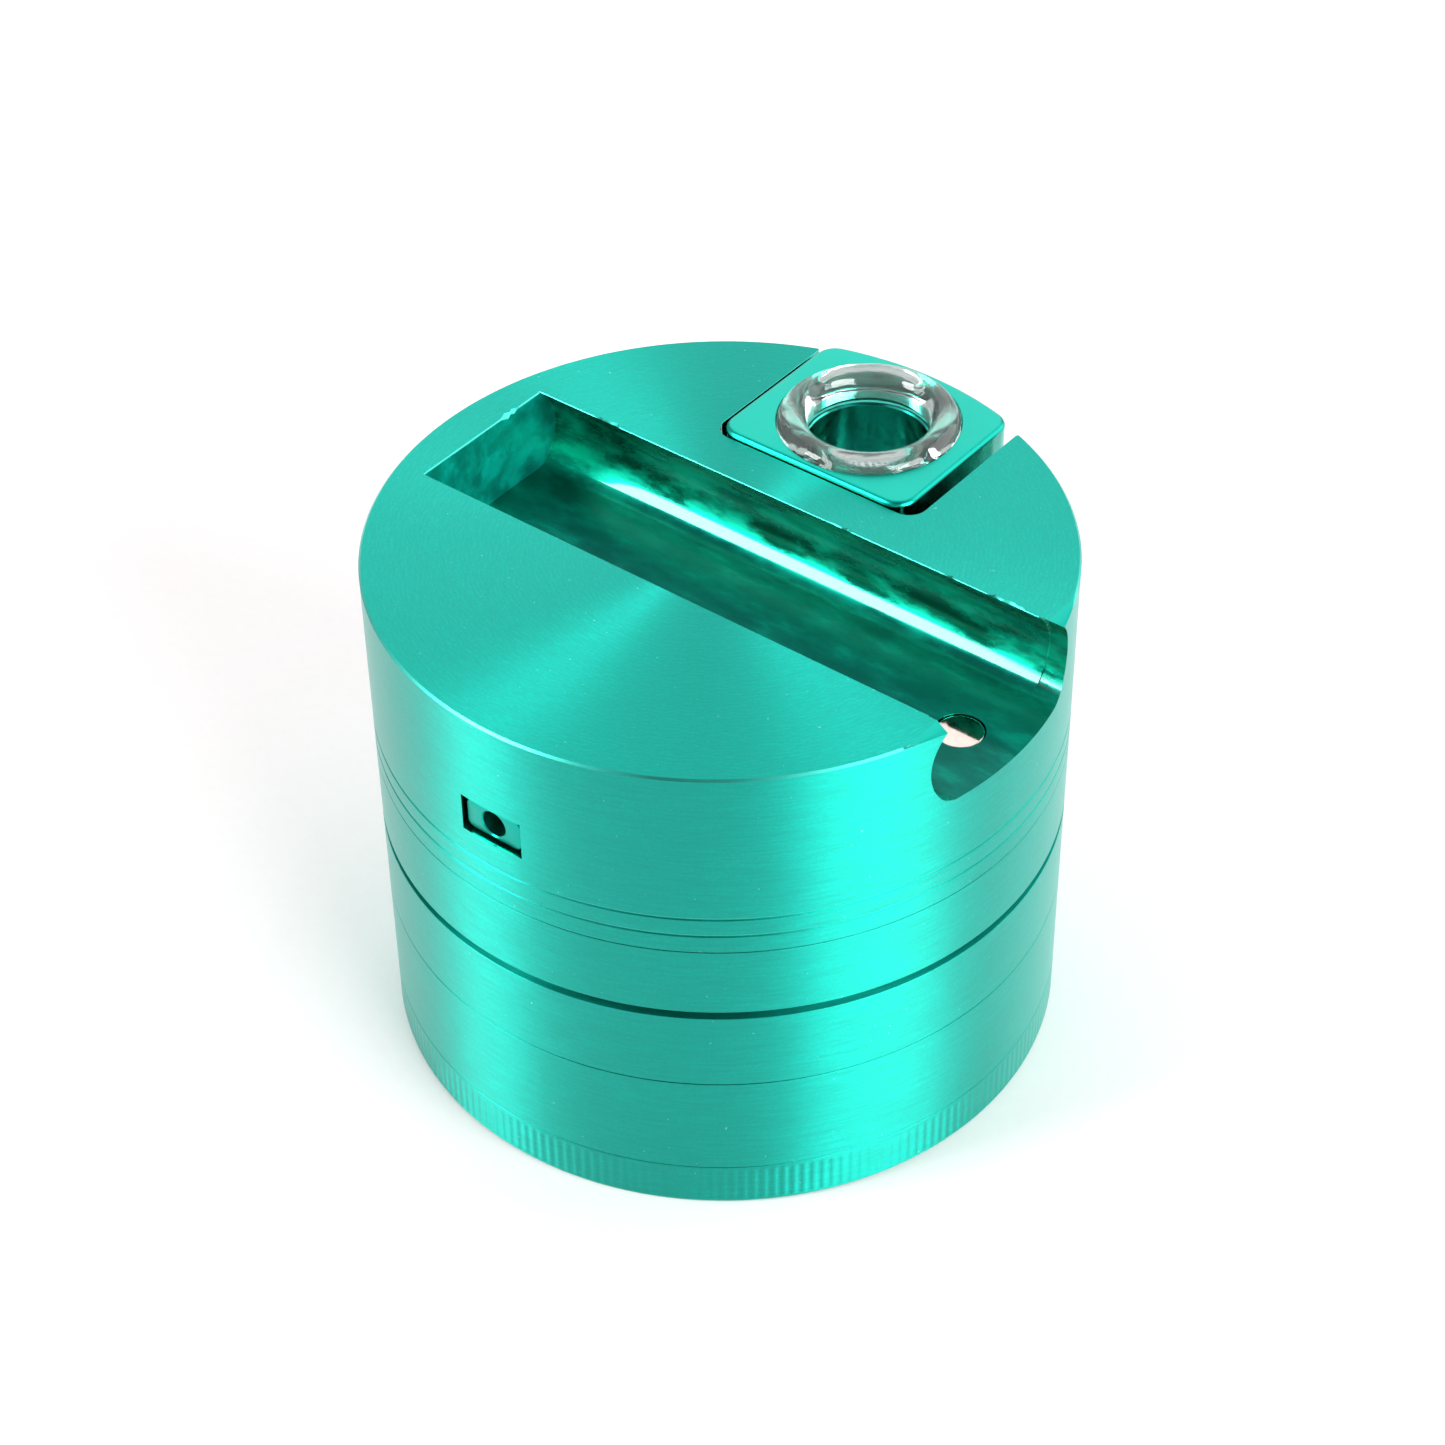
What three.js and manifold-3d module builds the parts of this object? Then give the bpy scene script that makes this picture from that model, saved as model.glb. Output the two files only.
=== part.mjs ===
// A pocket herb grinder with a slide-out pipe and a lighter dock in its lid.
//
// Millimetres, +Z up. The origin is the centre of the base. +X runs along the lighter channel
// towards its open end, and +Y points at the glass bowl of the pipe.
//
// From the base up, the turned sections are: pollen catcher, sieve chamber, grinding chamber,
// tooth lid and dock. Each lower section carries a collar that enters the section above it.

import * as THREE from "three";
import { mergeVertices } from "three/addons/utils/BufferGeometryUtils.js";
import Module from "manifold-3d";

const wasm = await Module();
wasm.setup();

// ---------------------------------------------------------------- driving dimensions

const BODY_R = 31.5; // outside radius of every turned section
const CATCHER_H = 4.7; // outside heights of the sections, from the base up
const SIEVE_H = 10.7;
const GRIND_H = 8.05;
const GLIDE_GAP = 0.8; // the open joint between the chamber and the lid
const LID_H = 7.15;
const DOCK_H = 19.2;
const SEAM = 0.1; // hairline left between two sections that are screwed together

const SIEVE_Z = CATCHER_H;
const GRIND_Z = SIEVE_Z + SIEVE_H;
const GLIDE_Z = GRIND_Z + GRIND_H;
const LID_Z = GLIDE_Z + GLIDE_GAP;
const DOCK_Z = LID_Z + LID_H;
const TOP_Z = DOCK_Z + DOCK_H;

const COLLAR_R = 28.6; // threaded collars
const COLLAR_BORE_R = 28.9; // the bores that they enter
const COLLAR_WALL = 1.8;
const COLLAR_H = 4;
const COLLAR_ROOM = 0.6; // free height above a collar
const FLOOR = 1.6; // floor of the pollen catcher
const BASE_CHAMFER = 0.5;
const SCOOP_R = 2; // fillet round the catcher's floor

const TURNED_SIDES = 56;
const BOWL_SIDES = 32;
const RING_SIDES = 40;
const SMALL_SIDES = 16;
const HOLE_SIDES = 10;

const GRIND_COLLAR_R = 28.3; // the plain collar that the lid turns on
const GRIND_COLLAR_H = 6.15;
const LID_SKIRT_R = 28.7;
const PLATE = 1.8; // floor of the grinding chamber
const GRIND_WALL_R = 26.6;
const LID_CEILING = 5.65; // above the lid's lower edge
const GRIND_FLOOR = COLLAR_H + COLLAR_ROOM + PLATE; // above the chamber's lower edge

const HUB_R = 5.5;
const MAGNET_R = 4;
const MAGNET_H = 2;
const FIT = 0.1; // usual gap round a part in its pocket

const TOOTH_LONG = 4.4; // a tooth is a rhombus, long across the radius it stands on
const TOOTH_WIDE = 3;
const TOOTH_TIP = 0.55; // share of its section left at its tip
const TOOTH_TIP_H = 1.6;
const CHAMBER_TOOTH_H = 7.3;
const LID_TOOTH_H = 7.4;
// radius of each ring of teeth, its count, and where its first tooth stands
const CHAMBER_TEETH = [
  { radius: 23.7, count: 12, first: 15 },
  { radius: 15.6, count: 8, first: 22.5 },
];
const LID_TEETH = [
  { radius: 19.6, count: 10, first: 0 },
  { radius: 11.4, count: 6, first: 30 },
];
const DROP_HOLES = [
  { radius: 19.6, count: 12, first: 0 },
  { radius: 10.6, count: 6, first: 0 },
];
const DROP_HOLE_R = 2.4;

const SCREEN_R = 26.8;
const SCREEN_T = 0.25;
const SIEVE_WALL_R = 27;
const LEDGE_R = 25.4;
const LEDGE_T = 0.8;
const SNAP_GROOVE_R = 27.4;
const SNAP_GROOVE_H = 1;
const SNAP_RING = { inner: 25.9, outer: 27.25, split: 3 };

// The lighter channel is an oval tunnel whose top is cut open by the lid's top face.
const CHANNEL_END_X = -27.4;
const CHANNEL_DEPTH = 8.25;
const CHANNEL_SIDE_R = 5.2; // radius of its two rounded sides
const CHANNEL_SIDE_Y = 4.8; // how far their centres stand from the middle
const CHANNEL_AXIS = 4.1; // depth of those centres
const MOUTH_FALL_X = 28.9; // from here outwards the top face falls away round the channel's mouth
const MOUTH_FALL = 0.27; // its slope
const LIGHTER_MAGNET = { x: 25.85, r: 2.15, h: 1.8, sunk: 0.1 };

// The pipe: a block that holds the bowl, and a flat stem that runs under the channel.
const SLOT_HALF = 11.25;
const SLOT_X = 0.36; // its middle: the block stands nearer to one side of it
const SLOT_IN_Y = 12.83;
const SLOT_CORNER_R = 1.8;
const SLOT_MOUTH_R = 0.4;
const BLOCK_HALF = 10.4;
const BLOCK_IN_Y = 12.95;
const BLOCK_PROUD = 0.6; // the block stands this far above the lid's top face
const BLOCK_H = 13.7;
const BLOCK_ROOM = 0.3; // below the block
const BLOCK_CORNER_R = 2;
const BLOCK_EDGE = 0.4;
const STEM_W = 6;
const STEM_H = 3.2;
const STEM_CORNER_R = 0.7;
const STEM_DEPTH = 10.85; // depth of its centre line below the top face
const STEM_END_Y = -31.05; // its mouth end stops just short of the outside
const STEM_SOCKET = 3; // how far it enters the block
const TUNNEL_W = 6.5;
const TUNNEL_H = 3.8;
const AIRWAY_R = 1.25;

// The bowl: a glass ring in a counterbore, over a cavity with a screen across its floor.
const BOWL_Y = 22.1;
const SEAT_R = 8.5;
const SEAT_DEPTH = 1.6; // depths are below the dock's top face
const CAVITY_R = 5.65;
const CAVITY_DEPTH = 9.4;
const DRAW_R = 3.5;
const DRAW_DEPTH = 12.2;
const GLASS_R = 8.41;
const GLASS_HOLE_R = 5.58;
const GLASS_TOP = 1.74; // above the dock's top face
const GLASS_BOTTOM = -1;
const GLASS_CREST_R = 6.95; // radius of the ring's highest line
const GLASS_SHOULDER = 1.32; // height of its curve outside that line
const GLASS_LIP = 1.74; // height of its curve inside that line
const GLASS_FOOT = 0.25; // chamfer round its lower edges
const GLASS_STEPS = 5; // straight pieces in each of its curves
const SEAL_T = 0.5;
const SEAL_HOLE_R = 6;
const BOWL_SCREEN_R = 5.4;
const BOWL_SCREEN_T = 0.3;

const LATCH = { x: 6.6, depth: 5.3, r: 2, h: 1.5, sunk: 0.05 }; // magnets that hold the pipe in

const GLIDE = { inner: 28.5, outer: 30.3, room: 0.05 };
const SIDE_GROOVES = [1.85, 3.75]; // heights of the dock's two turned lines
const SIDE_GROOVE_W = 0.3;
const SIDE_GROOVE_D = 0.15;
const TOP_CHAMFER = 0.3;

const OVER = 1; // how far a cutter runs past what it cuts

// ---------------------------------------------------------------- materials

const metal = (color, roughness) =>
  new THREE.MeshStandardMaterial({ color, roughness, metalness: 1 });
const anodised = metal(0x17a085, 0.3);
const steel = metal(0xb9bcbe, 0.35);
const magnetPlate = metal(0xc9c7c2, 0.2);
const nylon = new THREE.MeshStandardMaterial({ color: 0x1c1f1f, roughness: 0.6, metalness: 0 });
const rubber = new THREE.MeshStandardMaterial({ color: 0x141414, roughness: 0.8, metalness: 0 });
const glass = new THREE.MeshStandardMaterial({
  color: 0xe6f2ee,
  roughness: 0.05,
  metalness: 0,
  transparent: true,
  opacity: 0.35,
});

// ---------------------------------------------------------------- solids

// A closed three.js geometry as a manifold-3d solid, with its faces turned outwards.
function solid(geometry) {
  const bare = geometry.index ? geometry.toNonIndexed() : geometry.clone();
  bare.deleteAttribute("normal");
  bare.deleteAttribute("uv");
  const merged = mergeVertices(bare, 1e-4);
  const make = (triVerts) =>
    new wasm.Manifold(
      new wasm.Mesh({
        numProp: 3,
        vertProperties: merged.attributes.position.array,
        triVerts,
      }),
    );
  const corners = new Uint32Array(merged.index.array);
  const made = make(corners);
  if (made.volume() >= 0) return made;
  for (let i = 0; i < corners.length; i += 3)
    [corners[i + 1], corners[i + 2]] = [corners[i + 2], corners[i + 1]];
  return make(corners);
}

// A manifold-3d solid as a named three.js mesh.
function mesh(name, body, material, position = [0, 0, 0]) {
  const m = body.getMesh();
  const vertices = new Float32Array(m.numVert * 3);
  for (let i = 0; i < m.numVert; i++)
    vertices.set(m.vertProperties.subarray(i * m.numProp, i * m.numProp + 3), i * 3);
  const geometry = new THREE.BufferGeometry()
    .setAttribute("position", new THREE.BufferAttribute(vertices, 3))
    .setIndex(new THREE.BufferAttribute(m.triVerts, 1));
  geometry.computeVertexNormals();
  const made = new THREE.Mesh(geometry, material);
  made.name = name;
  made.position.set(...position);
  return made;
}

// A profile of [radius, height] turned about the Z axis.
function turned(profile, sides = TURNED_SIDES) {
  const points = profile.map(([r, z]) => new THREE.Vector2(r, z));
  const onAxis = profile[0][0] === 0 && profile[profile.length - 1][0] === 0;
  if (!onAxis) points.push(points[0].clone());
  return solid(new THREE.LatheGeometry(points, sides).rotateX(Math.PI / 2));
}

const disc = (r, z0, z1, sides = SMALL_SIDES) =>
  turned([[0, z0], [r, z0], [r, z1], [0, z1]], sides);

const ring = (inner, outer, z0, z1, sides = TURNED_SIDES) =>
  turned([[inner, z0], [outer, z0], [outer, z1], [inner, z1]], sides);

// A rod along Y, from y0 to y1.
const rodY = (r, x, z, y0, y1, sides = SMALL_SIDES) =>
  solid(new THREE.CylinderGeometry(r, r, y1 - y0, sides).translate(x, (y0 + y1) / 2, z));

const box = (x0, x1, y0, y1, z0, z1) =>
  solid(
    new THREE.BoxGeometry(x1 - x0, y1 - y0, z1 - z0).translate(
      (x0 + x1) / 2,
      (y0 + y1) / 2,
      (z0 + z1) / 2,
    ),
  );

// Points of an arc from angle a to angle b, in degrees, ends included.
function arc(cx, cy, r, a, b, steps) {
  return Array.from({ length: steps + 1 }, (_, i) => {
    const t = THREE.MathUtils.degToRad(a + ((b - a) * i) / steps);
    return [cx + r * Math.cos(t), cy + r * Math.sin(t)];
  });
}

const shapeOf = (points) => new THREE.Shape(points.map(([x, y]) => new THREE.Vector2(x, y)));

// Angles of count things spread round a circle, in radians.
const spread = ({ count, first }) =>
  Array.from({ length: count }, (_, i) => THREE.MathUtils.degToRad(first + (360 * i) / count));

const joined = (bodies) => bodies.reduce((all, b) => all.add(b));

// ---------------------------------------------------------------- teeth and holes

// A tooth stands on z = 0 and narrows over its last part. up is 1, or -1 for one that hangs.
function tooth(height, up) {
  const rhombus = (scale) =>
    [[TOOTH_WIDE, 0], [0, TOOTH_LONG], [-TOOTH_WIDE, 0], [0, -TOOTH_LONG]].map(
      ([x, y]) => [(x * scale) / 2, (y * scale) / 2],
    );
  const rooted = 0.5; // how far the tooth's foot runs into its plate
  const levels = [
    { z: -rooted, scale: 1 },
    { z: height - TOOTH_TIP_H, scale: 1 },
    { z: height, scale: TOOTH_TIP },
  ];
  const rings = levels.map(({ z, scale }) => rhombus(scale).map(([x, y]) => [x, y, z * up]));
  const points = rings.flat();
  const faces = [[0, 2, 1], [0, 3, 2], [8, 9, 10], [8, 10, 11]];
  for (const base of [0, 4])
    for (let i = 0; i < 4; i++) {
      const j = (i + 1) % 4;
      faces.push([base + i, base + j, base + 4 + j]);
      faces.push([base + i, base + 4 + j, base + 4 + i]);
    }
  const geometry = new THREE.BufferGeometry()
    .setAttribute("position", new THREE.Float32BufferAttribute(points.flat(), 3))
    .setIndex(faces.flat());
  return solid(geometry);
}

const ringOfTeeth = (row, height, up, z) =>
  spread(row).map((a) =>
    tooth(height, up)
      .rotate([0, 0, THREE.MathUtils.radToDeg(a)])
      .translate([row.radius * Math.cos(a), row.radius * Math.sin(a), z]),
  );

// ---------------------------------------------------------------- pollen catcher

function pollenCatcher() {
  const shoulder = CATCHER_H - SEAM;
  const inner = COLLAR_R - COLLAR_WALL;
  const rim = CATCHER_H + COLLAR_H;
  return turned([
    [0, 0],
    [BODY_R - BASE_CHAMFER, 0],
    [BODY_R, BASE_CHAMFER],
    [BODY_R, shoulder],
    [COLLAR_R, shoulder],
    [COLLAR_R, rim],
    [inner, rim],
    ...arc(inner - SCOOP_R, FLOOR + SCOOP_R, SCOOP_R, 0, -90, 3),
    [0, FLOOR],
  ]);
}

// ---------------------------------------------------------------- sieve chamber and screen

const LEDGE_Z = COLLAR_H + COLLAR_ROOM; // underside of the ledge, above the chamber's edge
const SCREEN_Z = LEDGE_Z + LEDGE_T + FIT;
const SNAP_Z = SCREEN_Z + SCREEN_T + FIT / 2;

function sieveChamber() {
  const shoulder = SIEVE_H - SEAM;
  const rim = SIEVE_H + COLLAR_H;
  return turned([
    [BODY_R, 0],
    [BODY_R, shoulder],
    [COLLAR_R, shoulder],
    [COLLAR_R, rim],
    [SIEVE_WALL_R, rim],
    [SIEVE_WALL_R, SNAP_Z + SNAP_GROOVE_H],
    [SNAP_GROOVE_R, SNAP_Z + SNAP_GROOVE_H],
    [SNAP_GROOVE_R, SNAP_Z],
    [SIEVE_WALL_R, SNAP_Z],
    [SIEVE_WALL_R, LEDGE_Z + LEDGE_T],
    [LEDGE_R, LEDGE_Z + LEDGE_T],
    [LEDGE_R, LEDGE_Z],
    [COLLAR_BORE_R, LEDGE_Z],
    [COLLAR_BORE_R, 0],
  ]);
}

const screenDisc = () => disc(SCREEN_R, 0, SCREEN_T, TURNED_SIDES);

// A split ring that springs into the groove above the screen.
function snapRing() {
  const { inner, outer } = SNAP_RING;
  const half = SNAP_RING.split / 2;
  const split = box(0, outer + OVER, -half, half, -OVER, SNAP_GROOVE_H + OVER);
  const top = SNAP_GROOVE_H - FIT;
  return ring(inner, outer, FIT, top, RING_SIDES).subtract(split);
}

// ---------------------------------------------------------------- grinding chamber

const HUB_TOP = 9.6; // above the chamber's lower edge

function grindingChamber() {
  const floorUnder = GRIND_FLOOR - PLATE;
  const rim = GRIND_H + GRIND_COLLAR_H;
  const shell = turned([
    [0, floorUnder],
    [COLLAR_BORE_R, floorUnder],
    [COLLAR_BORE_R, 0],
    [BODY_R, 0],
    [BODY_R, GRIND_H],
    [GRIND_COLLAR_R, GRIND_H],
    [GRIND_COLLAR_R, rim],
    [GRIND_WALL_R, rim],
    [GRIND_WALL_R, GRIND_FLOOR],
    [HUB_R, GRIND_FLOOR],
    [HUB_R, HUB_TOP],
    [MAGNET_R + FIT, HUB_TOP],
    [MAGNET_R + FIT, HUB_TOP - MAGNET_H - 2 * FIT],
    [0, HUB_TOP - MAGNET_H - 2 * FIT],
  ]);
  const teeth = CHAMBER_TEETH.flatMap((row) => ringOfTeeth(row, CHAMBER_TOOTH_H, 1, GRIND_FLOOR));
  const holes = DROP_HOLES.flatMap((row) =>
    spread(row).map((a) =>
      disc(DROP_HOLE_R, floorUnder - OVER, GRIND_FLOOR + OVER, HOLE_SIDES).translate([
        row.radius * Math.cos(a),
        row.radius * Math.sin(a),
        0,
      ]),
    ),
  );
  return joined([shell, ...teeth]).subtract(joined(holes));
}

// ---------------------------------------------------------------- tooth lid

const LID_HUB_Z = 1.15; // underside of the lid's hub, above the lid's lower edge

function toothLid() {
  const shoulder = LID_H - SEAM;
  const rim = LID_H + COLLAR_H;
  const pocketTop = LID_HUB_Z + MAGNET_H + 2 * FIT;
  const shell = turned([
    [0, pocketTop],
    [MAGNET_R + FIT, pocketTop],
    [MAGNET_R + FIT, LID_HUB_Z],
    [HUB_R, LID_HUB_Z],
    [HUB_R, LID_CEILING],
    [LID_SKIRT_R, LID_CEILING],
    [LID_SKIRT_R, 0],
    [BODY_R, 0],
    [BODY_R, shoulder],
    [COLLAR_R, shoulder],
    [COLLAR_R, rim],
    [COLLAR_R - COLLAR_WALL, rim],
    [COLLAR_R - COLLAR_WALL, LID_H],
    [0, LID_H],
  ]);
  const teeth = LID_TEETH.flatMap((row) => ringOfTeeth(row, LID_TOOTH_H, -1, LID_CEILING));
  return joined([shell, ...teeth]);
}

// ---------------------------------------------------------------- dock

// Section of the lighter channel in the Y-Z plane, about the lid's top face at z = 0.
function channelSection() {
  const side = (CHANNEL_DEPTH - CHANNEL_AXIS) / CHANNEL_SIDE_R;
  const low = THREE.MathUtils.radToDeg(Math.asin(side));
  const rise = (CHANNEL_AXIS + OVER) / CHANNEL_SIDE_R;
  const high = THREE.MathUtils.radToDeg(Math.asin(Math.min(rise, 1)));
  return [
    ...arc(CHANNEL_SIDE_Y, -CHANNEL_AXIS, CHANNEL_SIDE_R, -low, high, 10),
    ...arc(-CHANNEL_SIDE_Y, -CHANNEL_AXIS, CHANNEL_SIDE_R, 180 - high, 180 + low, 10),
  ];
}

// A [y, z] outline run along X.
function runX(points, x0, x1) {
  const geometry = new THREE.ExtrudeGeometry(shapeOf(points), {
    depth: x1 - x0,
    bevelEnabled: false,
  });
  const yzToX = new THREE.Matrix4().makeBasis(
    new THREE.Vector3(0, 1, 0),
    new THREE.Vector3(0, 0, 1),
    new THREE.Vector3(1, 0, 0),
  );
  return solid(geometry.applyMatrix4(yzToX).translate(x0, 0, 0));
}

// Plan of the pipe's slot: rounded corners inside, and flared ones where it meets the rim.
function slotPlan() {
  const h = SLOT_HALF;
  const r = SLOT_CORNER_R;
  const m = SLOT_MOUTH_R;
  const mouthY = (x) => Math.sqrt(BODY_R ** 2 - (SLOT_X + x) ** 2) - m;
  return [
    ...arc(-h + r, SLOT_IN_Y + r, r, 180, 270, 5),
    ...arc(h - r, SLOT_IN_Y + r, r, 270, 360, 5),
    ...arc(h + m, mouthY(h + m), m, 180, 90, 3),
    [h + m, BODY_R + OVER],
    [-h - m, BODY_R + OVER],
    ...arc(-h - m, mouthY(-h - m), m, 90, 0, 3),
  ].map(([x, y]) => [SLOT_X + x, y]);
}

function dockBody() {
  const groove = SIDE_GROOVES.flatMap((z) => [
    [BODY_R, z - SIDE_GROOVE_W / 2],
    [BODY_R - SIDE_GROOVE_D, z],
    [BODY_R, z + SIDE_GROOVE_W / 2],
  ]);
  const roof = COLLAR_H + COLLAR_ROOM / 2; // of the recess that the lid's collar enters
  const shell = turned([
    [0, roof],
    [COLLAR_BORE_R, roof],
    [COLLAR_BORE_R, 0],
    [BODY_R, 0],
    ...groove,
    [BODY_R, DOCK_H - TOP_CHAMFER],
    [BODY_R - TOP_CHAMFER, DOCK_H],
    [0, DOCK_H],
  ]);
  const channel = runX(channelSection(), CHANNEL_END_X, BODY_R + OVER).translate([0, 0, DOCK_H]);
  const reach = BODY_R + OVER - MOUTH_FALL_X;
  const mouthFall = solid(
    new THREE.ExtrudeGeometry(
      shapeOf([[-OVER, OVER * MOUTH_FALL], [reach, OVER], [reach, -reach * MOUTH_FALL]]),
      { depth: BODY_R, bevelEnabled: false },
    )
      .rotateX(Math.PI / 2)
      .translate(MOUTH_FALL_X, BODY_R / 2, DOCK_H),
  );
  const slotFloor = DOCK_H + BLOCK_PROUD - BLOCK_H - BLOCK_ROOM;
  const slot = solid(
    new THREE.ExtrudeGeometry(shapeOf(slotPlan()), {
      depth: DOCK_H + OVER - slotFloor,
      bevelEnabled: false,
    }).translate(0, 0, slotFloor),
  );
  const stemZ = DOCK_H - STEM_DEPTH;
  const tunnel = box(
    -TUNNEL_W / 2,
    TUNNEL_W / 2,
    -BODY_R - OVER,
    SLOT_IN_Y + OVER,
    stemZ - TUNNEL_H / 2,
    stemZ + TUNNEL_H / 2,
  );
  const floorZ = DOCK_H - CHANNEL_DEPTH;
  const pocket = disc(
    LIGHTER_MAGNET.r + FIT,
    floorZ - LIGHTER_MAGNET.h - 2 * LIGHTER_MAGNET.sunk,
    floorZ + OVER,
  ).translate([LIGHTER_MAGNET.x, 0, 0]);
  const latches = [-1, 1].map((side) =>
    rodY(
      LATCH.r + FIT,
      side * LATCH.x,
      DOCK_H - LATCH.depth,
      SLOT_IN_Y - LATCH.h - 2 * LATCH.sunk,
      SLOT_IN_Y + OVER,
    ),
  );
  return shell.subtract(joined([channel, mouthFall, slot, tunnel, pocket, ...latches]));
}

// ---------------------------------------------------------------- pipe

// Plan of the block: its outer side follows the dock's rim.
function blockPlan() {
  const h = BLOCK_HALF - BLOCK_EDGE;
  const r = BLOCK_CORNER_R - BLOCK_EDGE;
  const rimR = BODY_R - BLOCK_EDGE;
  const y0 = BLOCK_IN_Y + BLOCK_EDGE;
  const turn = THREE.MathUtils.radToDeg(Math.acos((h - r) / (rimR - r)));
  const rearY = Math.sqrt((rimR - r) ** 2 - (h - r) ** 2);
  return [
    ...arc(-h + r, y0 + r, r, 180, 270, 4),
    ...arc(h - r, y0 + r, r, 270, 360, 4),
    ...arc(h - r, rearY, r, 0, turn, 3),
    ...arc(0, 0, rimR, turn, 180 - turn, 8).slice(1, -1),
    ...arc(-h + r, rearY, r, 180 - turn, 180, 3),
  ];
}

// The block, with z = 0 at the dock's top face.
function pipeBlock() {
  const raw = solid(
    new THREE.ExtrudeGeometry(shapeOf(blockPlan()), {
      depth: BLOCK_H - 2 * BLOCK_EDGE,
      bevelThickness: BLOCK_EDGE,
      bevelSize: BLOCK_EDGE,
      bevelSegments: 2,
    }).translate(0, 0, BLOCK_PROUD - BLOCK_H + BLOCK_EDGE),
  );
  const bore = turned(
    [
      [0, -DRAW_DEPTH],
      [DRAW_R, -DRAW_DEPTH],
      [DRAW_R, -CAVITY_DEPTH],
      [CAVITY_R, -CAVITY_DEPTH],
      [CAVITY_R, -SEAT_DEPTH],
      [SEAT_R, -SEAT_DEPTH],
      [SEAT_R, BLOCK_PROUD + OVER],
      [0, BLOCK_PROUD + OVER],
    ],
    BOWL_SIDES,
  ).translate([0, BOWL_Y, 0]);
  const socket = box(
    -STEM_W / 2 - FIT,
    STEM_W / 2 + FIT,
    BLOCK_IN_Y - OVER,
    BLOCK_IN_Y + STEM_SOCKET + FIT,
    -STEM_DEPTH - STEM_H / 2 - FIT,
    -STEM_DEPTH + STEM_H / 2 + FIT,
  );
  const airway = rodY(AIRWAY_R, 0, -STEM_DEPTH, BLOCK_IN_Y, BOWL_Y, HOLE_SIDES);
  const pockets = [-1, 1].map((side) =>
    rodY(
      LATCH.r + FIT,
      side * LATCH.x,
      -LATCH.depth,
      BLOCK_IN_Y - OVER,
      BLOCK_IN_Y + LATCH.h + 2 * LATCH.sunk,
    ),
  );
  return raw.subtract(joined([bore, socket, airway, ...pockets]));
}

// The stem: a flat bar with rounded edges and an airway from end to end.
function pipeStem() {
  const w = STEM_W / 2;
  const h = STEM_H / 2;
  const r = STEM_CORNER_R;
  const outline = shapeOf([
    ...arc(w - r, h - r, r, 0, 90, 3),
    ...arc(-w + r, h - r, r, 90, 180, 3),
    ...arc(-w + r, -h + r, r, 180, 270, 3),
    ...arc(w - r, -h + r, r, 270, 360, 3),
  ]);
  const airway = arc(0, 0, AIRWAY_R, 0, 360, HOLE_SIDES).slice(0, -1);
  outline.holes.push(new THREE.Path(airway.map(([x, y]) => new THREE.Vector2(x, y))));
  const geometry = new THREE.ExtrudeGeometry(outline, {
    depth: BLOCK_IN_Y + STEM_SOCKET - STEM_END_Y,
    bevelEnabled: false,
  });
  const inner = BLOCK_IN_Y + STEM_SOCKET;
  return solid(geometry.rotateX(Math.PI / 2).translate(0, inner, -STEM_DEPTH));
}

// The glass ring. Its top is rounded, and steeper inside its crest than outside it.
function glassBowl() {
  const outside = GLASS_R - GLASS_CREST_R;
  const inside = GLASS_CREST_R - GLASS_HOLE_R;
  const curve = (width, height, a, b) =>
    arc(0, 0, 1, a, b, GLASS_STEPS).map(([x, z]) => [
      GLASS_CREST_R + width * x,
      GLASS_TOP + height * (z - 1),
    ]);
  return turned(
    [
      [GLASS_HOLE_R, GLASS_BOTTOM + GLASS_FOOT],
      [GLASS_HOLE_R + GLASS_FOOT, GLASS_BOTTOM],
      [GLASS_R - GLASS_FOOT, GLASS_BOTTOM],
      [GLASS_R, GLASS_BOTTOM + GLASS_FOOT],
      ...curve(outside, GLASS_SHOULDER, 0, 90),
      ...curve(inside, GLASS_LIP, 90, 180).slice(1),
    ],
    BOWL_SIDES,
  );
}

function bowlSeal() {
  const z = FIT - SEAT_DEPTH;
  return ring(SEAL_HOLE_R, SEAT_R - FIT, z, z + SEAL_T, BOWL_SIDES);
}

function bowlScreen() {
  const z = FIT - CAVITY_DEPTH;
  return disc(BOWL_SCREEN_R, z, z + BOWL_SCREEN_T, BOWL_SIDES);
}

// ---------------------------------------------------------------- magnets and glide ring

const magnet = (r, h) => disc(r, 0, h, RING_SIDES / 2);

const latchMagnet = (y0) => rodY(LATCH.r, 0, -LATCH.depth, y0, y0 + LATCH.h);

const glideRing = () =>
  ring(GLIDE.inner, GLIDE.outer, GLIDE.room, GLIDE_GAP - GLIDE.room);

// ---------------------------------------------------------------- the grinder

function section(z, ...meshes) {
  const made = new THREE.Group();
  made.position.z = z;
  made.add(...meshes);
  return made;
}

const chamberMagnetZ = HUB_TOP - MAGNET_H - FIT;
const lighterMagnetZ = DOCK_H - CHANNEL_DEPTH - LIGHTER_MAGNET.sunk - LIGHTER_MAGNET.h;
const slotMagnetY = SLOT_IN_Y - LATCH.sunk - LATCH.h;
const pipeMagnetY = BLOCK_IN_Y + LATCH.sunk;

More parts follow.
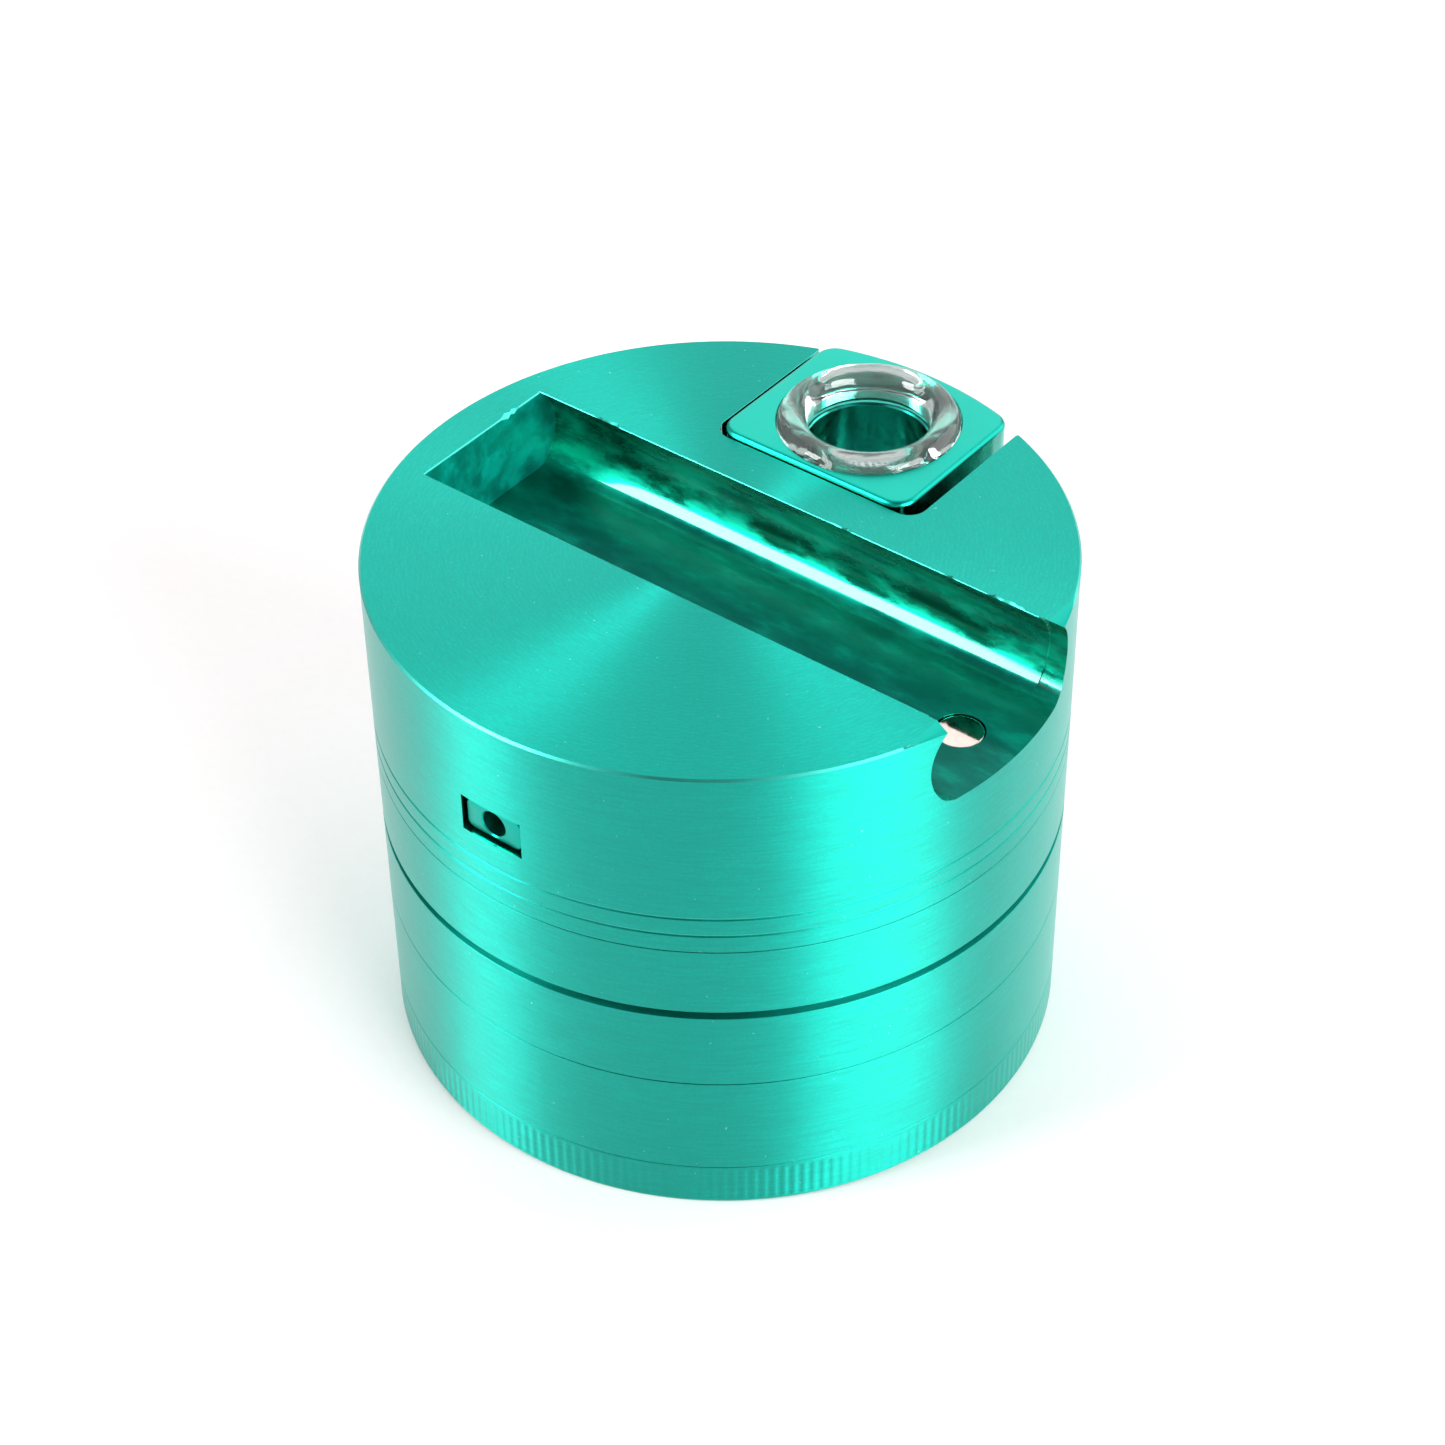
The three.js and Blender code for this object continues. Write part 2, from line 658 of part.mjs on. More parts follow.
const grinder = new THREE.Group();
grinder.add(
  section(0, mesh("pollen_catcher", pollenCatcher(), anodised)),
  section(
    SIEVE_Z,
    mesh("sieve_chamber", sieveChamber(), anodised),
    mesh("sieve_screen", screenDisc(), steel, [0, 0, SCREEN_Z]),
    mesh("screen_snap_ring", snapRing(), steel, [0, 0, SNAP_Z]),
  ),
  section(
    GRIND_Z,
    mesh("grinding_chamber", grindingChamber(), anodised),
    mesh("chamber_magnet", magnet(MAGNET_R, MAGNET_H), magnetPlate, [0, 0, chamberMagnetZ]),
  ),
  section(GLIDE_Z, mesh("glide_ring", glideRing(), nylon)),
  section(
    LID_Z,
    mesh("tooth_lid", toothLid(), anodised),
    mesh("lid_magnet", magnet(MAGNET_R, MAGNET_H), magnetPlate, [0, 0, LID_HUB_Z + FIT]),
  ),
  section(
    DOCK_Z,
    mesh("dock_body", dockBody(), anodised),
    mesh("lighter_magnet", magnet(LIGHTER_MAGNET.r, LIGHTER_MAGNET.h), magnetPlate, [
      LIGHTER_MAGNET.x,
      0,
      lighterMagnetZ,
    ]),
  ),
  section(
    TOP_Z,
    mesh("slot_magnet_left", latchMagnet(slotMagnetY), magnetPlate, [-LATCH.x, 0, 0]),
    mesh("slot_magnet_right", latchMagnet(slotMagnetY), magnetPlate, [LATCH.x, 0, 0]),
    mesh("pipe_block", pipeBlock(), anodised),
    mesh("pipe_magnet_left", latchMagnet(pipeMagnetY), magnetPlate, [-LATCH.x, 0, 0]),
    mesh("pipe_magnet_right", latchMagnet(pipeMagnetY), magnetPlate, [LATCH.x, 0, 0]),
    mesh("pipe_stem", pipeStem(), anodised),
    mesh("glass_bowl", glassBowl(), glass, [0, BOWL_Y, 0]),
    mesh("bowl_seal", bowlSeal(), rubber, [0, BOWL_Y, 0]),
    mesh("bowl_screen", bowlScreen(), steel, [0, BOWL_Y, 0]),
  ),
);

export default grinder;
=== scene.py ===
import math

import bmesh
import bpy
from mathutils import Matrix, Vector, noise

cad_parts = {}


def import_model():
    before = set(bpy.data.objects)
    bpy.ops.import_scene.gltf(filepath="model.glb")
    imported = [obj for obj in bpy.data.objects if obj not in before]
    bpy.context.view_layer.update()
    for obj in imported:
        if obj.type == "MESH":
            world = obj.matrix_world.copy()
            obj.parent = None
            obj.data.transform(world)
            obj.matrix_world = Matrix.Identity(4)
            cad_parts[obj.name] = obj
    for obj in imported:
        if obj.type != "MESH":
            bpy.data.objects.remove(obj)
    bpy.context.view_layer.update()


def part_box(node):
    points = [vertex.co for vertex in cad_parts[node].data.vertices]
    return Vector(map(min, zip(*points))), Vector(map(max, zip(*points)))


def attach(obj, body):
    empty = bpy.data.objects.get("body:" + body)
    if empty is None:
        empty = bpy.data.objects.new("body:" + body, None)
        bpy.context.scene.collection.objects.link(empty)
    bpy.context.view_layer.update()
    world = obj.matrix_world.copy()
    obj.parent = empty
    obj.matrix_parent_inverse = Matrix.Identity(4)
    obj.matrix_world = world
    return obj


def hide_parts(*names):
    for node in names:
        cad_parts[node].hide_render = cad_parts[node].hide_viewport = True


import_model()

# Sizes are in millimetres, and a mesh is scaled to metres when it is made.
MM = 0.001
TAU = 2 * math.pi


def extent(node):
    low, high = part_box(node)
    return low / MM, high / MM


# ---------------------------------------------------------------- places and sizes, from the frame

DOCK_LOW, DOCK_HIGH = extent("dock_body")
BODY_R = DOCK_HIGH.x
TOP_Z = DOCK_HIGH.z
DOCK_Z = DOCK_LOW.z
SIEVE_Z = extent("sieve_chamber")[0].z
GRIND_Z = extent("grinding_chamber")[0].z
GLIDE_LOW, GLIDE_HIGH = extent("glide_ring")
GLIDE_ROOM = 0.05  # between the glide ring and the sections over and under it
GLIDE_Z = GLIDE_LOW.z - GLIDE_ROOM
LID_Z = GLIDE_HIGH.z + GLIDE_ROOM
BLOCK_LOW, BLOCK_HIGH = extent("pipe_block")
STEM_LOW, STEM_HIGH = extent("pipe_stem")
GLASS_LOW, GLASS_HIGH = extent("glass_bowl")
BOWL_Y = (GLASS_LOW.y + GLASS_HIGH.y) / 2

# Sizes inside the turned sections, the same as the CAD part's.
SEAM = 0.08
TIGHT_SEAM = 0.03
EDGE = 0.05  # fillet on the outer edges of the sections
GLIDE_BORE_R = 28.5
COLLAR_R = 28.6
COLLAR_BORE_R = 28.9
COLLAR_INNER_R = 26.8
COLLAR_H = 4
COLLAR_ROOM = 0.6
FLOOR = 1.6
THREAD_PITCH = 0.8
THREAD_DEPTH = 0.22
SIEVE_WALL_R = 27
LEDGE_R = 25.4
LEDGE_T = 0.8
SNAP_GROOVE_R = 27.4
PLATE = 1.8
GRIND_COLLAR_R = 28.3
GRIND_WALL_R = 26.6
GRIND_RIM = 14.2
HUB_R = 5.5
HUB_TOP = 9.6
LID_SKIRT_R = 28.7
LID_CEILING = 5.65
LID_HUB_Z = 1.15
MAGNET_POCKET_R = 4.1
MAGNET_POCKET_H = 2.2
TOOTH_LONG = 4.4
TOOTH_WIDE = 3
CHAMBER_TOOTH_H = 7.3
LID_TOOTH_H = 7.4
CHAMBER_TEETH = [(23.7, 12, 15), (15.6, 8, 22.5)]
LID_TEETH = [(19.6, 10, 0), (11.4, 6, 30)]
DROP_HOLES = [(19.6, 12, 0), (10.6, 6, 0)]
DROP_HOLE_R = 2.4

CHANNEL_END_X = -27.4
CHANNEL_DEPTH = 8.25
CHANNEL_SIDE_R = 5.2
CHANNEL_SIDE_Y = 4.8
CHANNEL_AXIS = 4.1
MOUTH_FALL_X = 28.9
MOUTH_FALL = 0.27
MOUTH_STEP_X = 28
MOUTH_STEP = 0.12
CHANNEL_COVE_R = 2
SLOT_HALF = 11.25
SLOT_X = 0.36
SLOT_IN_Y = 12.83
SLOT_CORNER_R = 1.8
SLOT_MOUTH_R = 0.4
SLOT_EDGE = 0.03
SLOT_FLOOR_Z = BLOCK_LOW.z - 0.3
TUNNEL_W = 6.5
TUNNEL_H = 3.8
LATCH_X = 6.6
LATCH_DEPTH = 5.3
LATCH_POCKET_R = 2.1
LATCH_POCKET_H = 1.6

SEAT_R = 8.5
SEAT_DEPTH = 1.6
CAVITY_R = 5.65
CAVITY_DEPTH = 9.4
DRAW_R = 3.5
DRAW_DEPTH = 12.2
GLASS_HOLE_R = 5.58
GLASS_CREST_R = 6.95
GLASS_SHOULDER = 1.32
GLASS_LIP = 1.74
SEAL_HOLE_R = 6
SEAL_ROOM = 0.03  # between the seal and the glass's foot
BLOCK_CORNER_R = 2
BLOCK_EDGE = 0.5
AIRWAY_R = 1.25

# Fineness of the meshes.
ROUND = 256
BOWL_ROUND = 160
BLOCK_ROUND = 192
SHARP_ANGLE = math.radians(32)
KNURLS = 216
KNURL_STEPS = 4
KNURL_DEPTH = 0.05
OVER = 1  # how far a cutting tool reaches past what it cuts


# ---------------------------------------------------------------- outlines


def arc(cx, cy, r, a, b, steps):
    """Points of an arc from angle a to angle b, in degrees, ends included."""
    angles = [math.radians(a + (b - a) * i / steps) for i in range(steps + 1)]
    return [(cx + r * math.cos(t), cy + r * math.sin(t)) for t in angles]


def rounded(corners, closed=False, steps=4):
    """A polyline whose corners are (x, y) or (x, y, radius), with each radius filleted."""
    out = []
    count = len(corners)
    for i, corner in enumerate(corners):
        at_end = not closed and i in (0, count - 1)
        if len(corner) < 3 or callable(corner[2]) or at_end:
            out.append(corner)
            continue
        p = Vector(corner[:2])
        u = (Vector(corners[i - 1][:2]) - p).normalized()
        v = (Vector(corners[(i + 1) % count][:2]) - p).normalized()
        half = u.angle(v) / 2
        reach = corner[2] / math.tan(half)
        centre = p + (u + v).normalized() * (corner[2] / math.sin(half))
        start = p + u * reach - centre
        turn = start.angle_signed(p + v * reach - centre)
        for k in range(steps + 1):
            spoke = start.copy()
            spoke.rotate(Matrix.Rotation(-turn * k / steps, 2))
            out.append(tuple(centre + spoke))
    return out


def offset(outline, distance):
    """A closed outline moved outwards, for one that runs anticlockwise."""
    moved = []
    for i, point in enumerate(outline):
        before = Vector(point) - Vector(outline[i - 1])
        after = Vector(outline[(i + 1) % len(outline)]) - Vector(point)
        along = (before.normalized() + after.normalized()).normalized()
        moved.append((point[0] + along.y * distance, point[1] - along.x * distance))
    return moved


def thread(r, z0, z1, outward):
    """Profile points of a screw thread between two heights, fading at both ends."""
    levels = round((z1 - z0) / THREAD_PITCH * 8)
    points = []
    for k in range(levels + 1):
        z = z0 + (z1 - z0) * k / levels
        fade = min(1, 4 * k / levels, 4 * (levels - k) / levels)

        def ridge(angle, z=z, fade=fade):
            turns = z / THREAD_PITCH - angle / TAU
            return outward * THREAD_DEPTH * fade * (0.5 - 0.5 * math.cos(TAU * turns))

        points.append((r - (outward > 0) * THREAD_DEPTH, z, ridge))
    return points


# ---------------------------------------------------------------- meshes


def mesh_object(name, vertices, faces):
    mesh = bpy.data.meshes.new(name)
    mesh.from_pydata([Vector(v) * MM for v in vertices], [], faces)
    built = bmesh.new()
    built.from_mesh(mesh)
    bmesh.ops.remove_doubles(built, verts=built.verts, dist=1e-8)
    bmesh.ops.recalc_face_normals(built, faces=built.faces)
    built.to_mesh(mesh)
    built.free()
    made = bpy.data.objects.new(name, mesh)
    bpy.context.scene.collection.objects.link(made)
    return made


def lathe(name, profile, segments=ROUND, z=0):
    """A profile of (radius, height) or (radius, height, wobble(angle)) turned about the Z axis.
    It closes on itself, or starts and ends on the axis, where it is capped flat."""
    on_axis = profile[0][0] == 0
    rim = profile[1:-1] if on_axis else profile
    vertices = []
    for i in range(segments):
        angle = TAU * i / segments
        for point in rim:
            r = point[0] + (point[2](angle) if len(point) > 2 else 0)
            vertices.append((r * math.cos(angle), r * math.sin(angle), point[1] + z))
    count = len(rim)
    faces = []
    for i in range(segments):
        here = i * count
        there = (i + 1) % segments * count
        for j in range(count - 1 if on_axis else count):
            k = (j + 1) % count
            faces.append((here + j, there + j, there + k, here + k))
    if on_axis:
        faces.append([i * count for i in range(segments)])
        faces.append([i * count + count - 1 for i in range(segments)])
    return mesh_object(name, vertices, faces)


def loft(name, rings):
    """A skin over rings of equal count, capped flat at both ends."""
    count = len(rings[0])
    vertices = [v for ring in rings for v in ring]
    faces = [list(range(count)), list(range(len(vertices) - count, len(vertices)))]
    for k in range(len(rings) - 1):
        for i in range(count):
            j = (i + 1) % count
            a = k * count
            b = a + count
            faces.append((a + i, a + j, b + j, b + i))
    return mesh_object(name, vertices, faces)


def looped(name, rings):
    """A skin over rings of equal count, whose last ring joins the first."""
    count = len(rings[0])
    vertices = [v for ring in rings for v in ring]
    faces = []
    for k in range(len(rings)):
        for i in range(count):
            j = (i + 1) % count
            a = k * count
            b = (k + 1) % len(rings) * count
            faces.append((a + i, a + j, b + j, b + i))
    return mesh_object(name, vertices, faces)


def prism(name, outline, z0, z1):
    return loft(name, [[(x, y, z) for x, y in outline] for z in (z0, z1)])


def block(name, low, high):
    (x0, y0, z0), (x1, y1, z1) = low, high
    return prism(name, [(x0, y0), (x1, y0), (x1, y1), (x0, y1)], z0, z1)


def rod_y(name, r, x, z, y0, y1, segments=48):
    ring = arc(0, 0, r, 0, 360 - 360 / segments, segments - 1)
    return loft(name, [[(x + u, y, z + v) for u, v in ring] for y in (y0, y1)])


def disc(name, r, x, y, z0, z1, segments=64):
    ring = arc(x, y, r, 0, 360 - 360 / segments, segments - 1)
    return prism(name, ring, z0, z1)


def combined(target, tools, operation="DIFFERENCE"):
    """target with tools cut away or joined on. The tools are used up."""
    for tool in tools:
        modifier = target.modifiers.new("cut", "BOOLEAN")
        modifier.operation = operation
        modifier.solver = "EXACT"
        modifier.object = tool
        depsgraph = bpy.context.evaluated_depsgraph_get()
        result = bpy.data.meshes.new_from_object(target.evaluated_get(depsgraph))
        target.modifiers.clear()
        target.data = result
        bpy.data.objects.remove(tool)
    return target


def joined(target, others):
    """target with the others' meshes added as they are. The others are used up."""
    built = bmesh.new()
    for thing in [target, *others]:
        built.from_mesh(thing.data)
    built.to_mesh(target.data)
    built.free()
    for thing in others:
        bpy.data.objects.remove(thing)
    return target


def finish(piece, body, nodes, materials, choose=None):
    """Shades a piece, gives it its materials, and puts it in place of its CAD nodes."""
    for material in materials:
        piece.data.materials.append(material)
    for face in piece.data.polygons:
        face.material_index = choose(face.center / MM, face.normal) if choose else 0
    piece.data.set_sharp_from_angle(angle=SHARP_ANGLE)
    weighted = piece.modifiers.new("even_shading", "WEIGHTED_NORMAL")
    weighted.keep_sharp = True
    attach(piece, body)
    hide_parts(*nodes)
    return piece


# ---------------------------------------------------------------- materials


class Nodes:
    """A material's node tree, with short ways to add and join nodes."""

    def __init__(self, name):
        self.material = bpy.data.materials.new(name)
        self.material.use_nodes = True
        self.tree = self.material.node_tree
        self.shader = self.tree.nodes["Principled BSDF"]

    def set(self, **values):
        for socket, value in values.items():
            self.shader.inputs[socket.replace("_", " ")].default_value = value

    def add(self, kind, *inputs, **properties):
        node = self.tree.nodes.new(kind)
        for key, value in properties.items():
            setattr(node, key, value)
        for socket, value in zip(node.inputs, inputs):
            self.put(socket, value)
        return node

    def put(self, socket, value):
        if isinstance(value, bpy.types.NodeSocket):
            self.tree.links.new(value, socket)
        elif value is not None:
            socket.default_value = value

    def math(self, operation, *inputs):
        return self.add("ShaderNodeMath", *inputs, operation=operation).outputs[0]

    def vector(self, operation, *inputs):
        node = self.add("ShaderNodeVectorMath", *inputs, operation=operation)
        return node.outputs["Value" if operation in ("LENGTH", "DOT_PRODUCT") else "Vector"]

    def noise(self, vector, scale, detail=2, roughness=0.5):
        node = self.add("ShaderNodeTexNoise")
        self.put(node.inputs["Vector"], vector)
        self.put(node.inputs["Scale"], scale)
        self.put(node.inputs["Detail"], detail)
        self.put(node.inputs["Roughness"], roughness)
        return node.outputs["Fac"]

    def spread(self, value, low, high, to_low, to_high):
        node = self.add("ShaderNodeMapRange", value, low, high, to_low, to_high)
        return node.outputs[0]

    def blend(self, factor, a, b):
        node = self.add("ShaderNodeMix", data_type="RGBA")
        self.put(node.inputs["Factor"], factor)
        # A mix node's colours come after its numbers and vectors of the same names.
        self.put(node.inputs[6], a)
        self.put(node.inputs[7], b)
        return node.outputs[2]

    def bump(self, height, distance, strength=1.0):
        node = self.add("ShaderNodeBump")
        self.put(node.inputs["Strength"], strength)
        self.put(node.inputs["Distance"], distance)
        self.put(node.inputs["Height"], height)
        self.put(self.shader.inputs["Normal"], node.outputs["Normal"])

    def place(self):
        return self.add("ShaderNodeTexCoord").outputs["Object"]


TEAL = (0.005, 0.49, 0.4, 1)
TEAL_WORN = (0.006, 0.36, 0.29, 1)
TEAL_SATIN = (0.004, 0.42, 0.33, 1)
TEAL_BRIGHT = (0.004, 0.64, 0.52, 1)
TEAL_DEEP = (0.004, 0.37, 0.285, 1)
TEAL_PALE = (0.2, 0.7, 0.62, 1)
# Paler teal for the edges and groove lips: partly wear of the anodising, partly a painted highlight that
# makes their reflections whiter.
EDGE_TEAL_WORN_AND_SHEEN = (0.05, 0.55, 0.46, 1)
GREEN_DEEP = (0.002, 0.22, 0.145, 1)
GREEN = (0.004, 0.46, 0.32, 1)
GREEN_BRIGHT = (0.006, 0.6, 0.4, 1)
FLOOR_DARK = (0.001, 0.115, 0.09, 1)
FLOOR_LIGHT = (0.002, 0.175, 0.135, 1)
FEED = 0.00042  # the lathe tool's step across the top face
FLOOR_Z = (TOP_Z - CHANNEL_DEPTH) * MM
CUTTER_R = 0.0082  # the cutter that swept the channel's floor
CUTTER_FEED = 0.00035


def turned_teal(name, coat, along=260.0, hatch=0.0):
    """Anodised aluminium off a lathe: fine grooves that run round the turning axis, broken
    into shorter strokes where along is larger. hatch is the strength of regular feed marks."""
    n = Nodes(name)
    place = n.place()
    x, y, z = n.add("ShaderNodeSeparateXYZ", place).outputs
    flat = n.add("ShaderNodeCombineXYZ", x, y, 0.0).outputs[0]
    radius = n.vector("LENGTH", flat)
    across = n.math("ADD", radius, z)
    grooves = n.add("ShaderNodeCombineXYZ", n.math("MULTIPLY", across, 4200.0)).outputs[0]
    turn = n.add("ShaderNodeCombineXYZ", 0.0, x, y).outputs[0]
    streaks = n.vector("ADD", grooves, n.vector("MULTIPLY", turn, (0.0, along, along)))
    fine = n.noise(streaks, 1.0, 3, 0.7)
    broad = n.noise(n.vector("MULTIPLY", streaks, (0.1, 0.4, 0.4)), 1.0, 2)
    grain = n.noise(place, 3600.0, 2)
    cloud = n.noise(place, 90.0, 3)
    specks = n.noise(place, 2600.0, 1)
    wander = n.math("MULTIPLY", n.noise(place, 700.0, 2), FEED * 3)
    feed = n.math("SINE", n.math("MULTIPLY", n.math("ADD", radius, wander), TAU / FEED))
    n.set(Metallic=1.0, Anisotropic=0.9, Anisotropic_Rotation=0.25)
    n.set(Coat_Weight=coat, Coat_Roughness=0.3, Coat_IOR=1.18)
    tone = n.blend(n.spread(fine, 0.35, 0.65, 0.7, 0.0), TEAL, TEAL_WORN)
    tone = n.blend(n.spread(broad, 0.35, 0.7, 0.0, 0.12), tone, TEAL_WORN)
    tone = n.blend(n.spread(grain, 0.4, 0.7, 0.0, 0.45), tone, TEAL_WORN)
    tone = n.blend(n.spread(feed, -1.0, 1.0, 0.0, hatch), tone, TEAL_WORN)
    tone = n.blend(n.spread(cloud, 0.35, 0.75, 0.0, 0.2), tone, TEAL_WORN)
    tone = n.blend(n.spread(specks, 0.78, 0.82, 0.0, 0.8), tone, TEAL_PALE)
    n.put(n.shader.inputs["Base Color"], tone)
    n.put(n.shader.inputs["Roughness"], n.spread(fine, 0.25, 0.75, 0.42, 0.49))
    n.bump(n.math("ADD", fine, grain), 0.000004)
    ring = n.add("ShaderNodeCombineXYZ", n.math("MULTIPLY", y, -1.0), x, 0.0).outputs[0]
    turned = n.add(
        "ShaderNodeVectorTransform", ring, vector_type="VECTOR", convert_from="OBJECT", convert_to="WORLD"
    )
    n.put(n.shader.inputs["Tangent"], n.vector("NORMALIZE", turned.outputs[0]))
    return n.material


def milled_teal(name, smooth, rough, coat, dark, light, swept=False):
    """The same metal as a milling cutter leaves it, with cloudy stains. A swept one turns
    dark and dull at the channel's floor, where the cutter's end has left faint arcs."""
    n = Nodes(name)
    place = n.place()
    x, y, z = n.add("ShaderNodeSeparateXYZ", place).outputs
    cloud = n.noise(n.vector("MULTIPLY", place, (0.6, 1.6, 1.6)), 260.0, 5, 0.62)
    fine = n.noise(n.vector("MULTIPLY", place, (0.5, 2.0, 2.0)), 1400.0, 3)
    n.set(Metallic=1.0, Coat_Weight=coat, Coat_Roughness=0.08, Coat_IOR=1.6)
    stain = n.spread(cloud, 0.4, 0.6, 0.0, 1.0)
    tone = n.blend(stain, dark, light)
    polish = n.spread(cloud, 0.4, 0.66, smooth, rough)
    relief = fine
    if swept:
        ragged = n.math("ADD", z, n.spread(cloud, 0.3, 0.7, -0.0004, 0.0004))
        low = n.spread(ragged, FLOOR_Z + 0.0001, FLOOR_Z + 0.001, 1.0, 0.0)
        reach = n.math("SUBTRACT", CUTTER_R**2, n.math("MULTIPLY", y, y))
        front = n.math("SUBTRACT", x, n.math("SQRT", n.math("MAXIMUM", reach, 0.0)))
        arcs = n.math("SINE", n.math("MULTIPLY", front, TAU / CUTTER_FEED))
        tone = n.blend(low, tone, n.blend(stain, FLOOR_DARK, FLOOR_LIGHT))
        polish = n.math("MAXIMUM", polish, n.math("MULTIPLY", low, 0.45))
        relief = n.math("ADD", fine, n.math("MULTIPLY", n.math("MULTIPLY", arcs, low), 0.12))
    n.put(n.shader.inputs["Base Color"], tone)
    n.put(n.shader.inputs["Roughness"], polish)
    n.bump(relief, 0.00001)
    return n.material


def satin_teal(name, coat, colour, worn):
    """A skin that was blasted fine and even before it was dyed."""
    n = Nodes(name)
    place = n.place()
    grain = n.noise(place, 9000.0, 1)
    cloud = n.noise(place, 150.0, 3)
    n.set(Metallic=1.0, Coat_Weight=coat, Coat_Roughness=0.3, Coat_IOR=1.2)
    tone = n.blend(n.spread(cloud, 0.35, 0.7, 0.0, 0.3), colour, worn)
    n.put(n.shader.inputs["Base Color"], tone)
    n.put(n.shader.inputs["Roughness"], n.spread(cloud, 0.3, 0.7, 0.3, 0.36))
    n.bump(grain, 0.000004)
    return n.material


def nickel():
    n = Nodes("nickel_plate")
    place = n.place()
    cloud = n.noise(place, 700.0, 3)
    n.set(Metallic=1.0)
    n.put(
        n.shader.inputs["Base Color"],
        n.blend(n.spread(cloud, 0.3, 0.7, 0.0, 1.0), (0.68, 0.59, 0.54, 1), (0.55, 0.48, 0.43, 1)),
    )
    n.put(n.shader.inputs["Roughness"], n.spread(cloud, 0.3, 0.7, 0.02, 0.06))
    n.bump(cloud, 0.000002)
    return n.material


def steel():
    n = Nodes("stainless_wire")
    cloud = n.noise(n.place(), 1500.0, 2)
    n.set(Metallic=1.0)
    n.put(
        n.shader.inputs["Base Color"],
        n.blend(cloud, (0.62, 0.63, 0.64, 1), (0.5, 0.51, 0.52, 1)),
    )
    n.put(n.shader.inputs["Roughness"], n.spread(cloud, 0.3, 0.7, 0.25, 0.4))
    return n.material


def nylon():
    n = Nodes("black_nylon")
    cloud = n.noise(n.place(), 900.0, 3)
    n.put(
        n.shader.inputs["Base Color"],
        n.blend(cloud, (0.012, 0.014, 0.014, 1), (0.03, 0.033, 0.033, 1)),
    )
    n.put(n.shader.inputs["Roughness"], n.spread(cloud, 0.3, 0.7, 0.45, 0.65))
    n.bump(cloud, 0.00002)
    return n.material


def silicone():
    n = Nodes("clear_silicone")
    cloud = n.noise(n.place(), 1200.0, 2)
    n.set(Transmission_Weight=1.0, IOR=1.41)
    n.put(
        n.shader.inputs["Base Color"],
        n.blend(cloud, (0.9, 0.96, 0.95, 1), (0.95, 0.98, 0.97, 1)),
    )
    n.put(n.shader.inputs["Roughness"], n.spread(cloud, 0.3, 0.7, 0.05, 0.1))
    return n.material


def clear_glass():
    """Thick pressed glass, with the slight waves that fire polishing leaves."""
    n = Nodes("clear_glass")
    place = n.place()
    waves = n.noise(place, 420.0, 2, 0.4)
    n.set(Transmission_Weight=0.97, IOR=1.5, Roughness=0.0, Base_Color=(0.9, 0.995, 0.965, 1))
    n.bump(waves, 0.00012, 0.8)
    return n.material


TURNED = turned_teal("turned_teal", 1.0)
FACED = turned_teal("faced_teal", 0.35, 900.0, 0.35)
CHANNEL = milled_teal("milled_teal_channel", 0.2, 0.48, 0.75, GREEN_DEEP, GREEN_BRIGHT, True)
CHANNEL_FLOOR = milled_teal("milled_teal_floor", 0.4, 0.52, 0.05, GREEN_DEEP, GREEN, True)
CHANNEL_END = milled_teal("milled_teal_end", 0.44, 0.55, 0.1, TEAL, TEAL_BRIGHT)
MILLED = milled_teal("milled_teal", 0.12, 0.26, 0.6, TEAL_DEEP, TEAL)
SATIN = satin_teal("satin_teal", 0.35, TEAL_SATIN, TEAL_WORN)
# The edge material's pale colour is edge wear together with a painted highlight.
WORN_AND_SHEEN_EDGES = satin_teal("worn_and_sheen_edge_teal", 1.0, EDGE_TEAL_WORN_AND_SHEEN, TEAL)
NICKEL = nickel()
STEEL = steel()
NYLON = nylon()
SILICONE = silicone()
GLASS = clear_glass()


# ---------------------------------------------------------------- pollen catcher


def knurl(depth):
    """A wobble that cuts one fine upright groove for every KNURL_STEPS segments."""
    return lambda angle: -depth * (0.5 + 0.5 * math.cos(KNURLS * angle)) ** 1.5


def pollen_catcher():
    shoulder = SIEVE_Z - TIGHT_SEAM
    rim = SIEVE_Z + COLLAR_H
    floor_edge = rounded(
        [
            (COLLAR_R - THREAD_DEPTH, rim, 0.3),
            (COLLAR_INNER_R, rim, 0.3),
            (COLLAR_INNER_R, FLOOR, 2),
            (0, FLOOR),
        ],
        steps=6,
    )[1:]
    plain = knurl(0)
    profile = [
        (0, 0),
        *arc(BODY_R - 0.45, 0.45, 0.45, -90, 0, 4),
        (BODY_R, 0.46, plain),
        (BODY_R, 0.75, knurl(KNURL_DEPTH)),
        (BODY_R, 4.05, knurl(KNURL_DEPTH)),
        (BODY_R, 4.3, plain),
        *arc(BODY_R - EDGE, shoulder - EDGE, EDGE, 0, 90, 3),
        (COLLAR_R - THREAD_DEPTH, shoulder),
        *thread(COLLAR_R, shoulder + 0.2, rim - 0.3, 1),
        *floor_edge,
    ]
    made = lathe("pollen_catcher_turned", profile, KNURLS * KNURL_STEPS)
    finish(made, "pollen_catcher", ["pollen_catcher"], [TURNED])


# ---------------------------------------------------------------- sieve chamber


def section_bore(roof):
    """Inner profile of a section's threaded bore, from its roof down to its lower edge."""
    turns = thread(COLLAR_BORE_R + THREAD_DEPTH, 0.5, COLLAR_H, -1)
    return [(COLLAR_BORE_R + THREAD_DEPTH, roof), *reversed(turns)]


def lower_edge():
    return [
        (COLLAR_BORE_R + THREAD_DEPTH + 0.3, 0),
        *arc(BODY_R - EDGE, EDGE, EDGE, -90, 0, 3),
    ]


